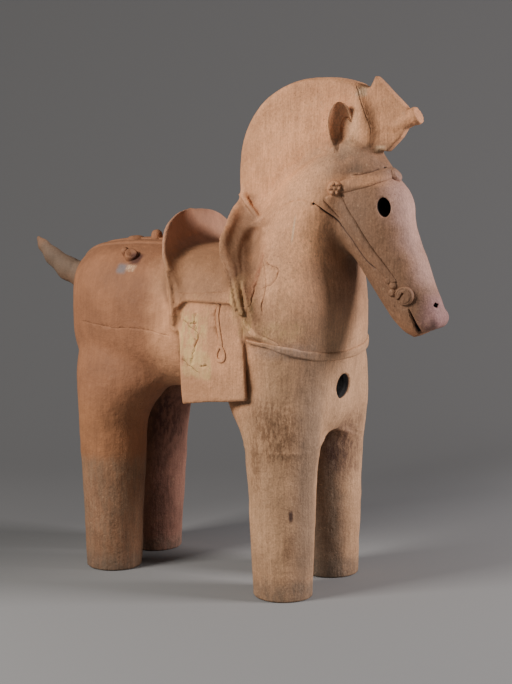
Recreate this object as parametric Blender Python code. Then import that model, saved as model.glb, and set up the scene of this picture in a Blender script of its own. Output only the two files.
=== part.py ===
"""A haniwa horse: a hollow, coil-built earthenware horse with saddle and bridle, fired as one piece.

The horse faces +X and stands on z = 0. Its plane of symmetry is y = 0, its right side is -Y. All
lengths are metres. The body is a union of lofted clay masses, from which lofted hollows, one
clay wall smaller, and the eyes, mouth, nostrils and chest hole are cut.
"""

import math

import bmesh
import bpy
import numpy as np
from mathutils import Vector

# Driving dimensions
HEIGHT = 1.203                       # top of the mane
WALL = 0.016                         # fired clay wall
SLAB = 0.013                         # saddle boards and flaps

# Legs: centre of each foot on the floor, and where its tube is heading at shoulder or hip
FEET = {
    "right_fore": ((0.215, -0.114), (0.203, -0.100)),
    "left_fore": ((0.220, 0.117), (0.212, 0.106)),
    "right_hind": ((-0.271, -0.101), (-0.275, -0.099)),
    "left_hind": ((-0.280, 0.098), (-0.275, 0.099)),
}
LEG_TOP = 0.58
# height, reach forward, reach back, reach sideways from the leg's centre line
FORE_LEG = (
    (0.000, 0.068, 0.068, 0.068),
    (0.170, 0.075, 0.075, 0.074),
    (0.300, 0.081, 0.083, 0.081),
    (0.380, 0.090, 0.098, 0.090),
    (0.440, 0.100, 0.130, 0.096),
    (0.500, 0.105, 0.180, 0.096),
    (LEG_TOP, 0.105, 0.200, 0.085),
)
HIND_LEG = (
    (0.000, 0.068, 0.068, 0.068),
    (0.200, 0.077, 0.077, 0.075),
    (0.340, 0.083, 0.085, 0.083),
    (0.395, 0.096, 0.088, 0.087),
    (0.440, 0.130, 0.092, 0.090),
    (0.490, 0.190, 0.098, 0.090),
    (LEG_TOP, 0.210, 0.100, 0.080),
)

# Barrel: a long rounded box lying along X
BARREL_MIDDLE = -0.045
BARREL_HALF_LENGTH = 0.370
BARREL_Z = 0.632
BARREL_HALF_HEIGHT = 0.170
BARREL_HALF_WIDTH = 0.190
RUMP_RISE, RUMP_START, RUMP_RUN = 0.008, -0.060, 0.080     # how the back climbs behind the saddle
BARREL_PLAN, BARREL_SIDE, BARREL_SECTION = 2.7, 4.5, 2.6    # superellipse powers of its outlines

# Chest and neck: height, middle in x, half length in x, half width in y, power
NECK = (
    (0.385, 0.203, 0.085, 0.150, 2.6),
    (0.430, 0.202, 0.110, 0.184, 2.6),
    (0.500, 0.200, 0.121, 0.194, 2.5),
    (0.620, 0.200, 0.130, 0.199, 2.4),
    (0.700, 0.199, 0.133, 0.192, 2.3),
    (0.770, 0.197, 0.132, 0.166, 2.2),
    (0.840, 0.196, 0.130, 0.133, 2.1),
    (0.900, 0.222, 0.128, 0.110, 2.0),
    (0.960, 0.268, 0.112, 0.092, 2.0),
    (1.010, 0.310, 0.090, 0.074, 2.0),
    (1.040, 0.330, 0.060, 0.050, 2.0),
)

# Head: front edge (x, z), jaw edge (x, z), half width, power
HEAD = (
    ((0.395, 1.040), (0.290, 1.010), 0.040, 2.0),
    ((0.433, 0.988), (0.275, 0.930), 0.070, 2.0),
    ((0.460, 0.943), (0.290, 0.880), 0.080, 2.2),
    ((0.473, 0.890), (0.322, 0.835), 0.079, 2.3),
    ((0.492, 0.826), (0.355, 0.785), 0.070, 2.3),
    ((0.518, 0.764), (0.388, 0.735), 0.061, 2.3),
    ((0.541, 0.709), (0.427, 0.688), 0.053, 2.3),
    ((0.554, 0.677), (0.455, 0.655), 0.048, 2.3),
    ((0.553, 0.649), (0.484, 0.624), 0.036, 2.2),
)
NOSE = ((0.541, 0.667), 0.024, 0.040)       # bulb: middle, radius, half width

# Mane: a round plate standing on the neck, and the tied forelock that it ends in
MANE_MIDDLE = (0.273, 0.966)
MANE_RADIUS = HEIGHT - MANE_MIDDLE[1]
MANE_REACH = 0.231                     # how far it reaches back from its middle
MANE_FULLNESS = 2.3                    # superellipse power of its rear quarter
MANE_HALF_THICKNESS = 0.029
MANE_RIM = 0.012                      # rounding of its edge
MANE_ARC = (198, 64)                  # degrees, from the withers to the forelock
MANE_FOOT = ((0.400, 1.090), (0.385, 1.010), (0.290, 0.930), (0.150, 0.850))
FORELOCK = ((0.374, 1.178), (0.388, 1.203), (0.484, 1.118), (0.452, 1.070), (0.420, 1.036),
            (0.345, 1.060))
FORELOCK_HALF_THICKNESS, FORELOCK_RIM = 0.014, 0.004
PEG = ((0.452, 1.099), (0.496, 1.122), 0.0190)   # rod at the forelock's lower corner

# Ear: foot, tip, half width
EAR_FOOT, EAR_TIP, EAR_HALF_WIDTH = (0.330, 0.047, 1.015), (0.329, 0.077, 1.147), 0.028
EAR_FACES = (0.42, 0.91)              # forwards and outwards

# Saddle boards: height, half width at the rim, x of the rim
CANTLE = (
    (0.630, 0.198, -0.028),
    (0.680, 0.203, -0.027),
    (0.740, 0.201, -0.040),
    (0.800, 0.182, -0.070),
    (0.850, 0.142, -0.089),
    (0.882, 0.080, -0.097),
    (0.891, 0.000, -0.100),
)
POMMEL = (
    (0.630, 0.203, 0.170),
    (0.680, 0.204, 0.153),
    (0.740, 0.197, 0.124),
    (0.800, 0.172, 0.087),
    (0.850, 0.134, 0.067),
    (0.895, 0.068, 0.048),
    (0.921, 0.000, 0.039),
)
SEAT_BOTTOM = 0.692
SEAT_OVER_FLANK, SEAT_OVER_BACK = 0.014, 0.006    # how far the slab stands outside the barrel
SEAT_ENDS = ((-0.046, -0.083), (0.138, 0.085))    # x at the seat's lower edge and over the back
FLAP_TOP, FLAP_REAR_LOW, FLAP_FRONT_LOW = 0.705, 0.450, 0.474
FLAP_REAR_TOP, FLAP_REAR_BOTTOM = -0.022, -0.006
FLAP_FRONT_TOP, FLAP_FRONT_BOTTOM = 0.150, 0.166
FLAP_Y = 0.2                          # middle of the slab's thickness, out from the plane y = 0
FLAP_LEAN = 0.012                     # how far it leans in at its top

# Holes
EYE = ((0.440, 0.917), (0.0145, 0.0228))                # middle, half sizes
CHEST_HOLE = ((0.310, -0.014, 0.493), (0.033, 0.030))    # middle, half sizes
NOSTRIL = ((0.551, 0.700), 0.006, 0.030)                 # middle, radius, out from y = 0
MOUTH = ((0.495, 0.690), (0.516, 0.632), 0.0035, 0.006)  # corner, lip, half openings there
MOUTH_HALF_WIDTH = 0.075                                 # right across the muzzle

# Harness
STRAP_HALF = 0.010                    # half the width of a strap
STRAP_RELIEF = 0.006                  # how far a strap stands out from the body
BREAST_MIDDLE, BREAST_REACH, BREAST_HALF_WIDTH = 0.200, 0.131, 0.200
BREAST_LOW, BREAST_RISE, BREAST_END = 0.567, 0.075, 128     # height, rise and end in degrees
CRUPPER_START, CRUPPER_LENGTH = -0.150, 0.235
CRUPPER_OUT, CRUPPER_IN = 0.120, 0.075      # out from y = 0 at the saddle, and how far it closes in
BELLS = ((-0.165, 0.060, 0.017), (-0.235, 0.128, 0.020))     # x, y, radius
BELL_HEIGHT = 0.020

# Bridle, right side; the left is its mirror image: middle, outward, radius, height
ROSETTE = ((0.322, 0.086, 0.956), (0.1, 1, 0.2), 0.017, 0.010)
BIT_DISC = ((0.489, 0.053, 0.720), (0.25, 1, 0), 0.022, 0.010)
BROW_STRAP = (                        # point, outward
    ((0.330, 0.082, 0.966), (0, 1, 0.1)),
    ((0.370, 0.079, 0.972), (0.2, 1, 0.1)),
    ((0.405, 0.062, 0.982), (0.6, 0.8, 0.1)),
    ((0.428, 0.030, 0.989), (1, 0.4, 0.3)),
    ((0.434, -0.004, 0.991), (1, 0, 0.4)),
)
CHEEK_STRAP = (
    ((0.332, 0.083, 0.935), (0, 1, 0)),
    ((0.365, 0.083, 0.885), (0, 1, 0)),
    ((0.405, 0.073, 0.820), (0, 1, 0)),
    ((0.440, 0.063, 0.765), (0, 1, 0)),
    ((0.475, 0.056, 0.715), (0, 1, 0)),
)
BRIDLE_HALF, BROW_RELIEF, CHEEK_RELIEF = 0.009, 0.006, 0.005

TAIL = (
    ((-0.360, 0.690), 0.036),
    ((-0.430, 0.705), 0.033),
    ((-0.480, 0.722), 0.029),
    ((-0.525, 0.750), 0.022),
    ((-0.556, 0.778), 0.013),
    ((-0.573, 0.797), 0.004),
)

TERRACOTTA = (0.42, 0.22, 0.13, 1.0)
COARSE = 14                           # corners of a hollow's rings, which nobody sees


def clear_scene():
    """Removes whatever objects the scene starts with."""
    for existing in list(bpy.data.objects):
        bpy.data.objects.remove(existing, do_unlink=True)


def smooth_rows(rows, steps):
    """Reads a table of numbers as a smooth curve and returns `steps` rows for each of its spans."""
    table = np.array([np.hstack([np.ravel(cell) for cell in row]) for row in rows], float)
    padded = np.vstack([2 * table[0] - table[1], table, 2 * table[-1] - table[-2]])
    out = []
    for before, start, end, after in zip(padded, padded[1:], padded[2:], padded[3:]):
        for t in np.arange(steps) / steps:
            out.append(0.5 * (2 * start + (end - before) * t
                              + (2 * before - 5 * start + 4 * end - after) * t ** 2
                              + (3 * start - before - 3 * end + after) * t ** 3))
    return np.vstack([out, table[-1]])


def superellipse(count, power):
    """Unit superellipse: two arrays, for an even turn around the ring."""
    turn = np.arange(count) * 2 * math.pi / count + math.pi / count
    cosine, sine = np.cos(turn), np.sin(turn)
    return (np.sign(cosine) * np.abs(cosine) ** (2 / power),
            np.sign(sine) * np.abs(sine) ** (2 / power))


def ring(centre, first_axis, second_axis, power=2.0, count=24):
    """A ring of points around `centre`, with its half sizes along two axes."""
    first, second = superellipse(count, power)
    return (np.array(centre, float) + np.outer(first, first_axis) + np.outer(second, second_axis))


def loft(name, rings):
    """A closed body skinned over rings of equal count, with a fan about a middle point at each end."""
    count = len(rings[0])
    mesh = bmesh.new()
    loops = [[mesh.verts.new(Vector(point)) for point in one] for one in rings]
    for near, far in zip(loops, loops[1:]):
        for index in range(count):
            following = (index + 1) % count
            mesh.faces.new((near[index], near[following], far[following], far[index]))
    for end, corners in zip((loops[0], loops[-1]), (rings[0], rings[-1])):
        middle = mesh.verts.new(Vector(np.mean(corners, axis=0)))
        for index in range(count):
            mesh.faces.new((middle, end[index], end[(index + 1) % count]))
    bmesh.ops.recalc_face_normals(mesh, faces=mesh.faces)
    data = bpy.data.meshes.new(name)
    mesh.to_mesh(data)
    mesh.free()
    solid = bpy.data.objects.new(name, data)
    bpy.context.scene.collection.objects.link(solid)
    return solid


def combine(target, tools, operation):
    """Applies one exact Boolean after another to `target`, and removes the tools."""
    for tool in tools:
        tool.hide_render = True
        tool.display_type = "WIRE"
        step = target.modifiers.new(tool.name, "BOOLEAN")
        step.operation = operation
        step.solver = "MANIFOLD"      # EXACT loses whole bodies where these masses graze each other
        step.object = tool
    depsgraph = bpy.context.evaluated_depsgraph_get()
    depsgraph.update()
    result = bpy.data.meshes.new_from_object(target.evaluated_get(depsgraph))
    target.modifiers.clear()
    target.data = result
    for tool in tools:
        bpy.data.objects.remove(tool, do_unlink=True)


# ---- clay masses; `inset` shrinks a mass to make the hollow inside it ----

def leg(name, inset=0.0):
    """A leg tube from the floor up into the body."""
    foot, top = FEET[name]
    table = FORE_LEG if "fore" in name else HIND_LEG
    rings = []
    for height, front, back, side in smooth_rows(table, 1 if inset else 2):
        x, y = np.array(foot) + (np.array(top) - foot) * (height / LEG_TOP)
        middle = (x + (front - back) / 2, y, height)
        rings.append(ring(middle, ((front + back) / 2 - inset, 0, 0), (0, side - inset, 0), 2.0,
                          COARSE if inset else 20))
    if inset:
        rings[0][:, 2] -= WALL
    return loft(name, rings)


def closing(t, power):
    """How a superellipse of this power closes in at t, from 1 in the middle to 0 at t = 1."""
    return (1 - abs(t) ** power) ** (1 / power)


def back_rise(x):
    """How much higher the back is at x than at the saddle."""
    t = min(max((RUMP_START - x) / RUMP_RUN, 0), 1)
    return RUMP_RISE * t * t * (3 - 2 * t)


def barrel(inset=0.0):
    """Rump, back and belly: superellipse sections along X, closing to round ends."""
    rings = []
    for slant in np.linspace(-82, 82, 9 if inset else 13):
        t = math.sin(math.radians(slant))
        wide, tall = (closing(t, power) for power in (BARREL_PLAN, BARREL_SIDE))
        x = BARREL_MIDDLE + (BARREL_HALF_LENGTH - inset) * t
        lift = back_rise(x) / 2
        rings.append(ring((x, 0, BARREL_Z + lift), (0, (BARREL_HALF_WIDTH - inset) * wide, 0),
                          (0, 0, (BARREL_HALF_HEIGHT + lift - inset) * tall), BARREL_SECTION,
                          COARSE if inset else 24))
    return loft("barrel", rings)


def neck(inset=0.0):
    """Chest and neck, one column from between the forelegs up to the poll."""
    rows = smooth_rows(NECK, 1)
    if inset:
        rows = rows[1:-1]
    return loft("neck", [ring((x, 0, z), (length - inset, 0, 0), (0, width - inset, 0), power,
                              COARSE if inset else 24) for z, x, length, width, power in rows])


def head(inset=0.0):
    """The head, tapering from the poll to the muzzle."""
    rings = []
    for front_x, front_z, jaw_x, jaw_z, width, power in smooth_rows(HEAD, 1):
        front, jaw = np.array((front_x, 0, front_z)), np.array((jaw_x, 0, jaw_z))
        reach = (front - jaw) / 2
        reach = reach * (1 - inset / np.linalg.norm(reach))
        rings.append(ring((front + jaw) / 2, reach, (0, width - inset, 0), power,
                          COARSE if inset else 20))
    return loft("head", rings[1:-1] if inset else rings)


def nose():
    """The rounded bulb at the tip of the muzzle."""
    (x, z), radius, width = NOSE
    rings = []
    for slant in np.linspace(-75, 75, 7):
        size = radius * math.cos(math.radians(slant))
        rings.append(ring((x, width * math.sin(math.radians(slant)), z), (size, 0, 0), (0, 0, size),
                          2.0, 14))
    return loft("nose", rings)


def plate(name, outline, half_thickness, rim):
    """A plate in the XZ plane whose rim is rounded over: rings step in towards the faces."""
    outline = np.array(outline, float)
    middle = outline.mean(axis=0)
    rings = []
    for slant in (-90, -45, 0, 45, 90):
        drop = rim * (1 - math.cos(math.radians(slant)))
        reach = np.linalg.norm(outline - middle, axis=1, keepdims=True)
        shrunk = middle + (outline - middle) * (1 - drop / reach)
        y = half_thickness * math.sin(math.radians(slant))
        rings.append(np.column_stack([shrunk[:, 0], np.full(len(shrunk), y), shrunk[:, 1]]))
    return loft(name, rings)


def mane():
    """The clipped mane: most of a disc, from the withers up over the neck to the forelock."""
    arc = []
    for angle in np.radians(np.linspace(*MANE_ARC, 26)):
        along, up = math.cos(angle), math.sin(angle)
        power, reach = (2 / MANE_FULLNESS, MANE_REACH) if along < 0 else (1, MANE_RADIUS)
        arc.append((MANE_MIDDLE[0] + math.copysign(reach * abs(along) ** power, along),
                    MANE_MIDDLE[1] + math.copysign(MANE_RADIUS * abs(up) ** power, up)))
    return plate("mane", [*arc, *MANE_FOOT], MANE_HALF_THICKNESS, MANE_RIM)


def forelock():
    """The forelock's flat block, which widens towards its straight front edge."""
    return plate("forelock", FORELOCK, FORELOCK_HALF_THICKNESS, FORELOCK_RIM)


def peg():
    """The short rod that sticks out at the forelock's lower front corner."""
    (x0, z0), (x1, z1), radius = PEG
    start, end = Vector((x0, 0, z0)), Vector((x1, 0, z1))
    along = (end - start).normalized()
    up = Vector((0, 1, 0)).cross(along)
    rings = [ring(start.lerp(end, t), np.array(up) * radius * size, (0, radius * size, 0), 2.0, 12)
             for t, size in ((0.0, 0.85), (0.75, 0.85), (0.8, 1.0), (1.0, 1.0))]
    return loft("peg", rings)


def ear(side):
    """One ear: a pointed leaf, hollowed like a spoon towards the front and outside."""
    foot, tip = (Vector((x, side * y, z)) for x, y, z in (EAR_FOOT, EAR_TIP))
    along = (tip - foot).normalized()
    out = Vector((EAR_FACES[0], side * EAR_FACES[1], 0.0))
    out = (out - along * out.dot(along)).normalized()
    across = along.cross(out)
    rings = []
    for t in (0.0, 0.25, 0.45, 0.65, 0.82, 0.95, 1.0):
        width = EAR_HALF_WIDTH * (0.62 + 0.38 * math.sin(math.pi * min(t / 0.65, 1) / 2))
        if t > 0.65:
            width *= math.sqrt(max(1 - ((t - 0.65) / 0.36) ** 2, 0.02))
        cup = 0.75 * width * math.sin(math.pi * min(t, 0.97)) ** 0.5 * min(max(t - 0.2, 0) * 4, 1)
        outer = [Vector((math.cos(a), math.sin(a))) for a in np.linspace(0, math.pi, 7)]
        back = [foot.lerp(tip, t) + across * (p.x * width) - out * (p.y * width) for p in outer]
        inner = [Vector((math.cos(a), math.sin(a))) for a in np.linspace(math.pi, 0, 7)[1:-1]]
        front = [foot.lerp(tip, t) + across * (p.x * width * 0.75) - out * (p.y * cup)
                 + out * 0.004 * (1 - min(t * 4, 1)) for p in inner]
        rings.append(np.array([*back, *front]))
    return loft("ear", rings)


def board(name, table):
    """A saddle board: an arched sheet, from one flank over the back to the other."""
    half = smooth_rows(table, 2)
    arch = np.vstack([half * (1, -1, 1), half[-2::-1]])
    arch[0, 0] = arch[-1, 0] = table[0][0]
    core = np.array((float(np.mean(arch[:, 2])), 0.0, BARREL_Z + 0.03))
    rim = np.column_stack([arch[:, 2], arch[:, 1], arch[:, 0]])
    rings = []
    for offset, reach in ((1, 0.55), (1, 0.80), (1, 1.0), (-1, 1.0), (-1, 0.80), (-1, 0.55)):
        shifted = core + (rim - core) * (reach, reach, reach)
        shifted[:, 0] += offset * SLAB / 2 + (1 - reach) * 0.02
        rings.append(shifted)
    return loft(name, rings)


def seat():
    """The saddle seat: a slab bent over the barrel from board to board, with a straight lower edge."""
    bent = ring((0, 0, BARREL_Z), (0, BARREL_HALF_WIDTH + SEAT_OVER_FLANK, 0),
                (0, 0, BARREL_HALF_HEIGHT + SEAT_OVER_BACK), BARREL_SECTION, 28)
    bent = bent[bent[:, 2] > SEAT_BOTTOM]
    climb = (bent[:, 2] - SEAT_BOTTOM) / (bent[:, 2].max() - SEAT_BOTTOM)
    (rear_low, rear_high), (front_low, front_high) = SEAT_ENDS
    rear, front = (low + (high - low) * climb for low, high in ((rear_low, rear_high),
                                                                (front_low, front_high)))
    return loft("seat", [np.column_stack([rear + (front - rear) * t, bent[:, 1:]])
                         for t in (0.0, 0.5, 1.0)])


def flap(side):
    """A saddle flap: a slab that hangs from under the seat, standing off the belly."""
    rear_top, rear_low = Vector((FLAP_REAR_TOP, FLAP_TOP)), Vector((FLAP_REAR_BOTTOM, FLAP_REAR_LOW))
    front_top, front_low = Vector((FLAP_FRONT_TOP, FLAP_TOP)), Vector((FLAP_FRONT_BOTTOM, FLAP_FRONT_LOW))
    rings = []
    for t in (0.0, 0.3, 0.6, 1.0):
        rear, front = rear_top.lerp(rear_low, t), front_top.lerp(front_low, t)
        reach, y = (front - rear) / 2, side * (FLAP_Y - FLAP_LEAN * (1 - t) ** 2)
        rings.append(ring(((rear.x + front.x) / 2, y, (rear.y + front.y) / 2),
                          (reach.x, 0, reach.y), (0, SLAB / 2, 0), 12.0, 4))
    return loft("flap", rings)


def band(name, path, half_width, relief):
    """A strap: an oblong section carried along a closed or open path of (point, outward)."""
    rings = []
    points = [Vector(point) for point, _ in path]
    for index, (point, outward) in enumerate(path):
        ahead = points[min(index + 1, len(points) - 1)]
        behind = points[max(index - 1, 0)]
        along = (ahead - behind).normalized()
        outward = Vector(outward)
        outward = (outward - along * outward.dot(along)).normalized()
        rings.append(ring(point, np.array(along.cross(outward)) * half_width,
                          np.array(outward) * relief, 4.0, 6))
    return loft(name, rings)


def breast_strap():
    """The strap from flap to flap, round the chest, dipping at its middle."""
    path = []
    for angle in np.radians(np.linspace(-BREAST_END, BREAST_END, 21)):
        first, second = math.cos(angle), math.sin(angle)
        power = 2 / 2.4
        x = BREAST_MIDDLE + BREAST_REACH * math.copysign(abs(first) ** power, first)
        y = BREAST_HALF_WIDTH * math.copysign(abs(second) ** power, second)
        z = BREAST_LOW + BREAST_RISE * (abs(angle) / math.radians(BREAST_END)) ** 1.6
        path.append(((x, y, z), (first, second * 0.75, 0.1)))
    return band("breast_strap", path, STRAP_HALF, STRAP_RELIEF)


def surface_dot(name, place, outward, radius, height):
    """A low round boss that stands on the body at `place`."""
    outward = Vector(outward).normalized()
    side = outward.orthogonal().normalized()
    up = outward.cross(side)
    rings = [ring(Vector(place) + outward * (height * lift), np.array(side) * radius * size,
                  np.array(up) * radius * size, 2.0, 10)
             for lift, size in ((-1.0, 0.9), (0.35, 1.0), (1.0, 0.55))]
    return loft(name, rings)


def tail():
    """The tail: a horn that swings up to a blunt tip."""
    rows = smooth_rows(TAIL, 1)
    rings = []
    for index, (x, z, radius) in enumerate(rows):
        ahead, behind = rows[min(index + 1, len(rows) - 1)], rows[max(index - 1, 0)]
        along = Vector((ahead[0] - behind[0], 0, ahead[1] - behind[1])).normalized()
        up = Vector((0, 1, 0)).cross(along)
        rings.append(ring((x, 0, z), np.array(up) * radius, (0, radius * 0.8, 0), 2.0, 12))
    return loft("tail", rings)


def crupper_straps():
    """Straps over the rump: one round it behind the saddle, one each side down to the tail."""
    straps = []
    for side in (-1, 1):
        path = []
        for t in np.linspace(0, 1, 7):
            x = CRUPPER_START - CRUPPER_LENGTH * t
            y = side * (CRUPPER_OUT - CRUPPER_IN * t ** 2)
            path.append(((x, y, rump_height(x, y) - 0.002), (-0.25 * t, side * 0.4, 1)))
        straps.append(band("crupper_strap", path, STRAP_HALF, STRAP_RELIEF))
    return straps


def rump_height(x, y):
    """Height of the barrel's upper surface over a place (x, y)."""
    t = min(abs(x - BARREL_MIDDLE) / BARREL_HALF_LENGTH, 0.999)
    across = min(abs(y) / (BARREL_HALF_WIDTH * closing(t, BARREL_PLAN)), 0.99)
    high = BARREL_HALF_HEIGHT * closing(t, BARREL_SIDE) * closing(across, BARREL_SECTION)
    return BARREL_Z + high + back_rise(x)


def bells():
    """Round bells on the crupper straps, one pair at the fork and one pair on the haunches."""
    made = []
    for side in (-1, 1):
        for x, y, radius in BELLS:
            place = (x, side * y, rump_height(x, y))
            made.append(surface_dot("bell", place, (0, side * 0.5, 1), radius, BELL_HEIGHT))
    return made


def bridle(side):
    """Cheek rosette, brow strap, cheek strap and bit disc on one side of the head."""
    flip = np.array((1, side, 1))
    brow, cheek = ([(flip * point, flip * outward) for point, outward in path]
                   for path in (BROW_STRAP, CHEEK_STRAP))
    discs = [surface_dot(name, flip * place, flip * outward, radius, height)
             for name, (place, outward, radius, height) in (("rosette", ROSETTE),
                                                            ("bit_disc", BIT_DISC))]
    return [discs[0], band("brow_strap", brow, BRIDLE_HALF, BROW_RELIEF),
            band("cheek_strap", cheek, BRIDLE_HALF, CHEEK_RELIEF), discs[1]]


def oval_cutter(name, middle, first_axis, second_axis, depth):
    """A straight oval cutter between middle - depth and middle + depth."""
    return loft(name, [ring(np.array(middle) + np.array(depth) * end, first_axis, second_axis, 2.0, 16)
                       for end in (-1, 1)])


def holes():
    """Cutters for the eyes, the chest hole, the nostrils and the mouth."""
    (eye_x, eye_z), (eye_half_width, eye_half_height) = EYE
    chest_middle, (chest_half_width, chest_half_height) = CHEST_HOLE
    cutters = [
        oval_cutter("eyes", (eye_x, 0, eye_z), (eye_half_width, 0, -0.003),
                    (-0.005, 0, eye_half_height), (0, 0.12, 0)),
        oval_cutter("chest_hole", chest_middle, (0, chest_half_width, 0),
                    (0, 0, chest_half_height), (0.05, 0, 0)),
    ]
    (x, z), radius, out = NOSTRIL
    for side in (-1, 1):
        cutters.append(oval_cutter("nostril", (x, side * out, z), (radius, 0, 0), (0, 0, radius),
                                   (0.006, side * 0.022, 0.004)))
    corner, lip, half_corner, half_lip = MOUTH
    slit = []
    for t in (0.0, 0.5, 1.0, 1.3):
        x, z = np.array(corner) + (np.array(lip) - corner) * t
        half = half_corner + (half_lip - half_corner) * t
        slit.append(ring((x, 0, z), (half, 0, 0.002), (0, MOUTH_HALF_WIDTH, 0), 4.0, 8))
    cutters.append(loft("mouth", slit))
    return cutters


def terracotta():
    """Unglazed, low-fired clay."""
    finish = bpy.data.materials.new("terracotta")
    finish.use_nodes = True
    shader = finish.node_tree.nodes["Principled BSDF"]
    shader.inputs["Base Color"].default_value = TERRACOTTA
    shader.inputs["Roughness"].default_value = 0.85
    shader.inputs["Metallic"].default_value = 0.0
    return finish


def build():
    """Unites the masses, cuts the hollows and the holes, and names the horse."""
    horse = barrel()
    masses = [leg(name) for name in FEET]
    masses += [neck(), head(), nose(), mane(), forelock(), peg(), tail(), seat()]
    masses += [board("cantle", CANTLE), board("pommel", POMMEL), breast_strap()]
    masses += [*crupper_straps(), *bells()]
    for side in (-1, 1):
        masses += [ear(side), flap(side), *bridle(side)]
    combine(horse, masses, "UNION")

    hollow = barrel(WALL)
    combine(hollow, [*(leg(name, WALL) for name in FEET), neck(WALL), head(WALL)], "UNION")
    combine(horse, [hollow, *holes()], "DIFFERENCE")

    horse.name = horse.data.name = "haniwa_horse"
    horse.data.materials.clear()
    horse.data.materials.append(terracotta())
    horse.data.shade_smooth()
    horse.data.set_sharp_from_angle(angle=math.radians(35))


clear_scene()
build()
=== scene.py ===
"""The looks of a haniwa horse: a hollow, coil-built earthenware horse, fired as one piece.

The horse faces +X and stands on z = 0, its right side is -Y, and lengths are metres. Its body is
worked out as a field of distances on an even lattice: each clay mass is a form that gives the
distance to its own surface, and one form runs into the next the way a thumb smears wet clay. The
straps, studs and fittings that the maker luted on are profiles carried along paths on that body.
"""

import logging
import math
from dataclasses import dataclass, replace
from enum import Enum
from typing import Protocol, Sequence

import bpy
import numpy as np
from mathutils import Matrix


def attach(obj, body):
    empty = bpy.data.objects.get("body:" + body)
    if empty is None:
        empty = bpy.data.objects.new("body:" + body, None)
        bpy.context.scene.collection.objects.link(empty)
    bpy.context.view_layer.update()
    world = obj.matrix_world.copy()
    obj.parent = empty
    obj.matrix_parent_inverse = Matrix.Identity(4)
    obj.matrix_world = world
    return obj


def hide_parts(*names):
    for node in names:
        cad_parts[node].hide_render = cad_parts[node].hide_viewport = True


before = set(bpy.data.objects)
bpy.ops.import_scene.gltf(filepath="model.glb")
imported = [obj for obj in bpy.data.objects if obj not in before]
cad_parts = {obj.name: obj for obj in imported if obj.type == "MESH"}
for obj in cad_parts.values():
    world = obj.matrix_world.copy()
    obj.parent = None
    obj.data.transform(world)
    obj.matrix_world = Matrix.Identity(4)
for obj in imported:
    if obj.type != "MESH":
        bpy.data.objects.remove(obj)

import openvdb
from mathutils import Vector

Array = np.ndarray
Point = tuple[float, float, float]
Row = tuple[float, ...]

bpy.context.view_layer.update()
NODE = "haniwa_horse"
SLOT = "terracotta"
WALL = 0.016                  # fired clay wall
SLAB = 0.013                  # saddle boards and flaps
FAR = 1.0                     # what the field reads far from any clay
PITCH = 0.0037
HOLLOW_PITCH = 0.011
BODY_TRIANGLES = 155000
HOLLOW_TRIANGLES = 16000
STRAP_STEP = 0.0035           # from one section of a strap to the next
STRAP_SUNK = 0.0015           # how far a strap's ends sink into the skin
GROOVE_STEP = 0.003           # from one section of a groove to the next
CREASE_REACH = 0.024          # how far out the shelter of a hollow is felt
UP = (0, 0, 1)
AHEAD = (1, 0, 0)
SIDES = ((1, "right"), (-1, "left"))

log = logging.getLogger("haniwa")


# ---- small numeric helpers ----

def smooth_rows(rows: Sequence[Row], steps: int = 8) -> Array:
    """Reads a table as a smooth curve (Catmull-Rom) and returns it with `steps` rows a span.

    Args:
        rows: The table's rows, all of one length.
        steps: Rows to make for each span of the table.

    Returns:
        The denser table.
    """
    table = np.array(rows, float)
    padded = np.vstack([2 * table[0] - table[1], table, 2 * table[-1] - table[-2]])
    before, start, end, after = padded[:-3], padded[1:-2], padded[2:-1], padded[3:]
    t = (np.arange(steps) / steps)[None, :, None]
    spans = 0.5 * (2 * start[:, None] + (end - before)[:, None] * t
                   + (2 * before - 5 * start + 4 * end - after)[:, None] * t ** 2
                   + (3 * start - before - 3 * end + after)[:, None] * t ** 3)
    return np.vstack([spans.reshape(-1, table.shape[1]), table[-1]])


def unit(way: Sequence[float]) -> Array:
    """A direction made one unit long."""
    return np.array(way) / np.linalg.norm(way)


def mirrored(rows: Sequence[Row], side: int) -> tuple[Row, ...]:
    """A path's rows as they are where `side` is 1, and across the plane y = 0 where it is -1."""
    return tuple((x, side * y, *rest) for x, y, *rest in rows)


def smooth_union(one: Array, other: Array, blend: float | Array) -> Array:
    """The nearer of two distances, eased where they differ by less than `blend`."""
    blend = np.maximum(blend, 1e-6)
    ease = np.maximum(blend - np.abs(one - other), 0) / blend
    return np.minimum(one, other) - ease ** 2 * (blend / 4)


def smooth_cut(one: Array, tool: Array, blend: float) -> Array:
    """The first distance with the tool's inside taken away, its edge eased over `blend`."""
    return -smooth_union(-one, tool, blend)


def outline_distance(outline: Array, u: Array, v: Array) -> Array:
    """Signed distance to a closed outline in a plane, below zero inside.

    The nearest point on each edge gives the size, and an even-odd count of crossings the sign.

    Args:
        outline: Corners, as rows of (u, v).
        u: First coordinates.
        v: Second coordinates, which broadcast with the first.

    Returns:
        The distances.
    """
    u, v = np.broadcast_arrays(u, v)
    nearest = np.full(u.shape, np.inf, np.float32)
    inside = np.zeros(u.shape, bool)
    for (u0, v0), (u1, v1) in zip(outline, np.roll(outline, -1, axis=0)):
        du, dv = u1 - u0, v1 - v0
        t = np.clip(((u - u0) * du + (v - v0) * dv) / (du * du + dv * dv), 0, 1)
        nearest = np.minimum(nearest, (u - u0 - t * du) ** 2 + (v - v0 - t * dv) ** 2)
        crosses = (v0 > v) != (v1 > v)
        inside ^= crosses & (u < u0 + du * (v - v0) / (dv if dv else 1.0))
    return np.where(inside, -1, 1) * np.sqrt(nearest)


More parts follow.
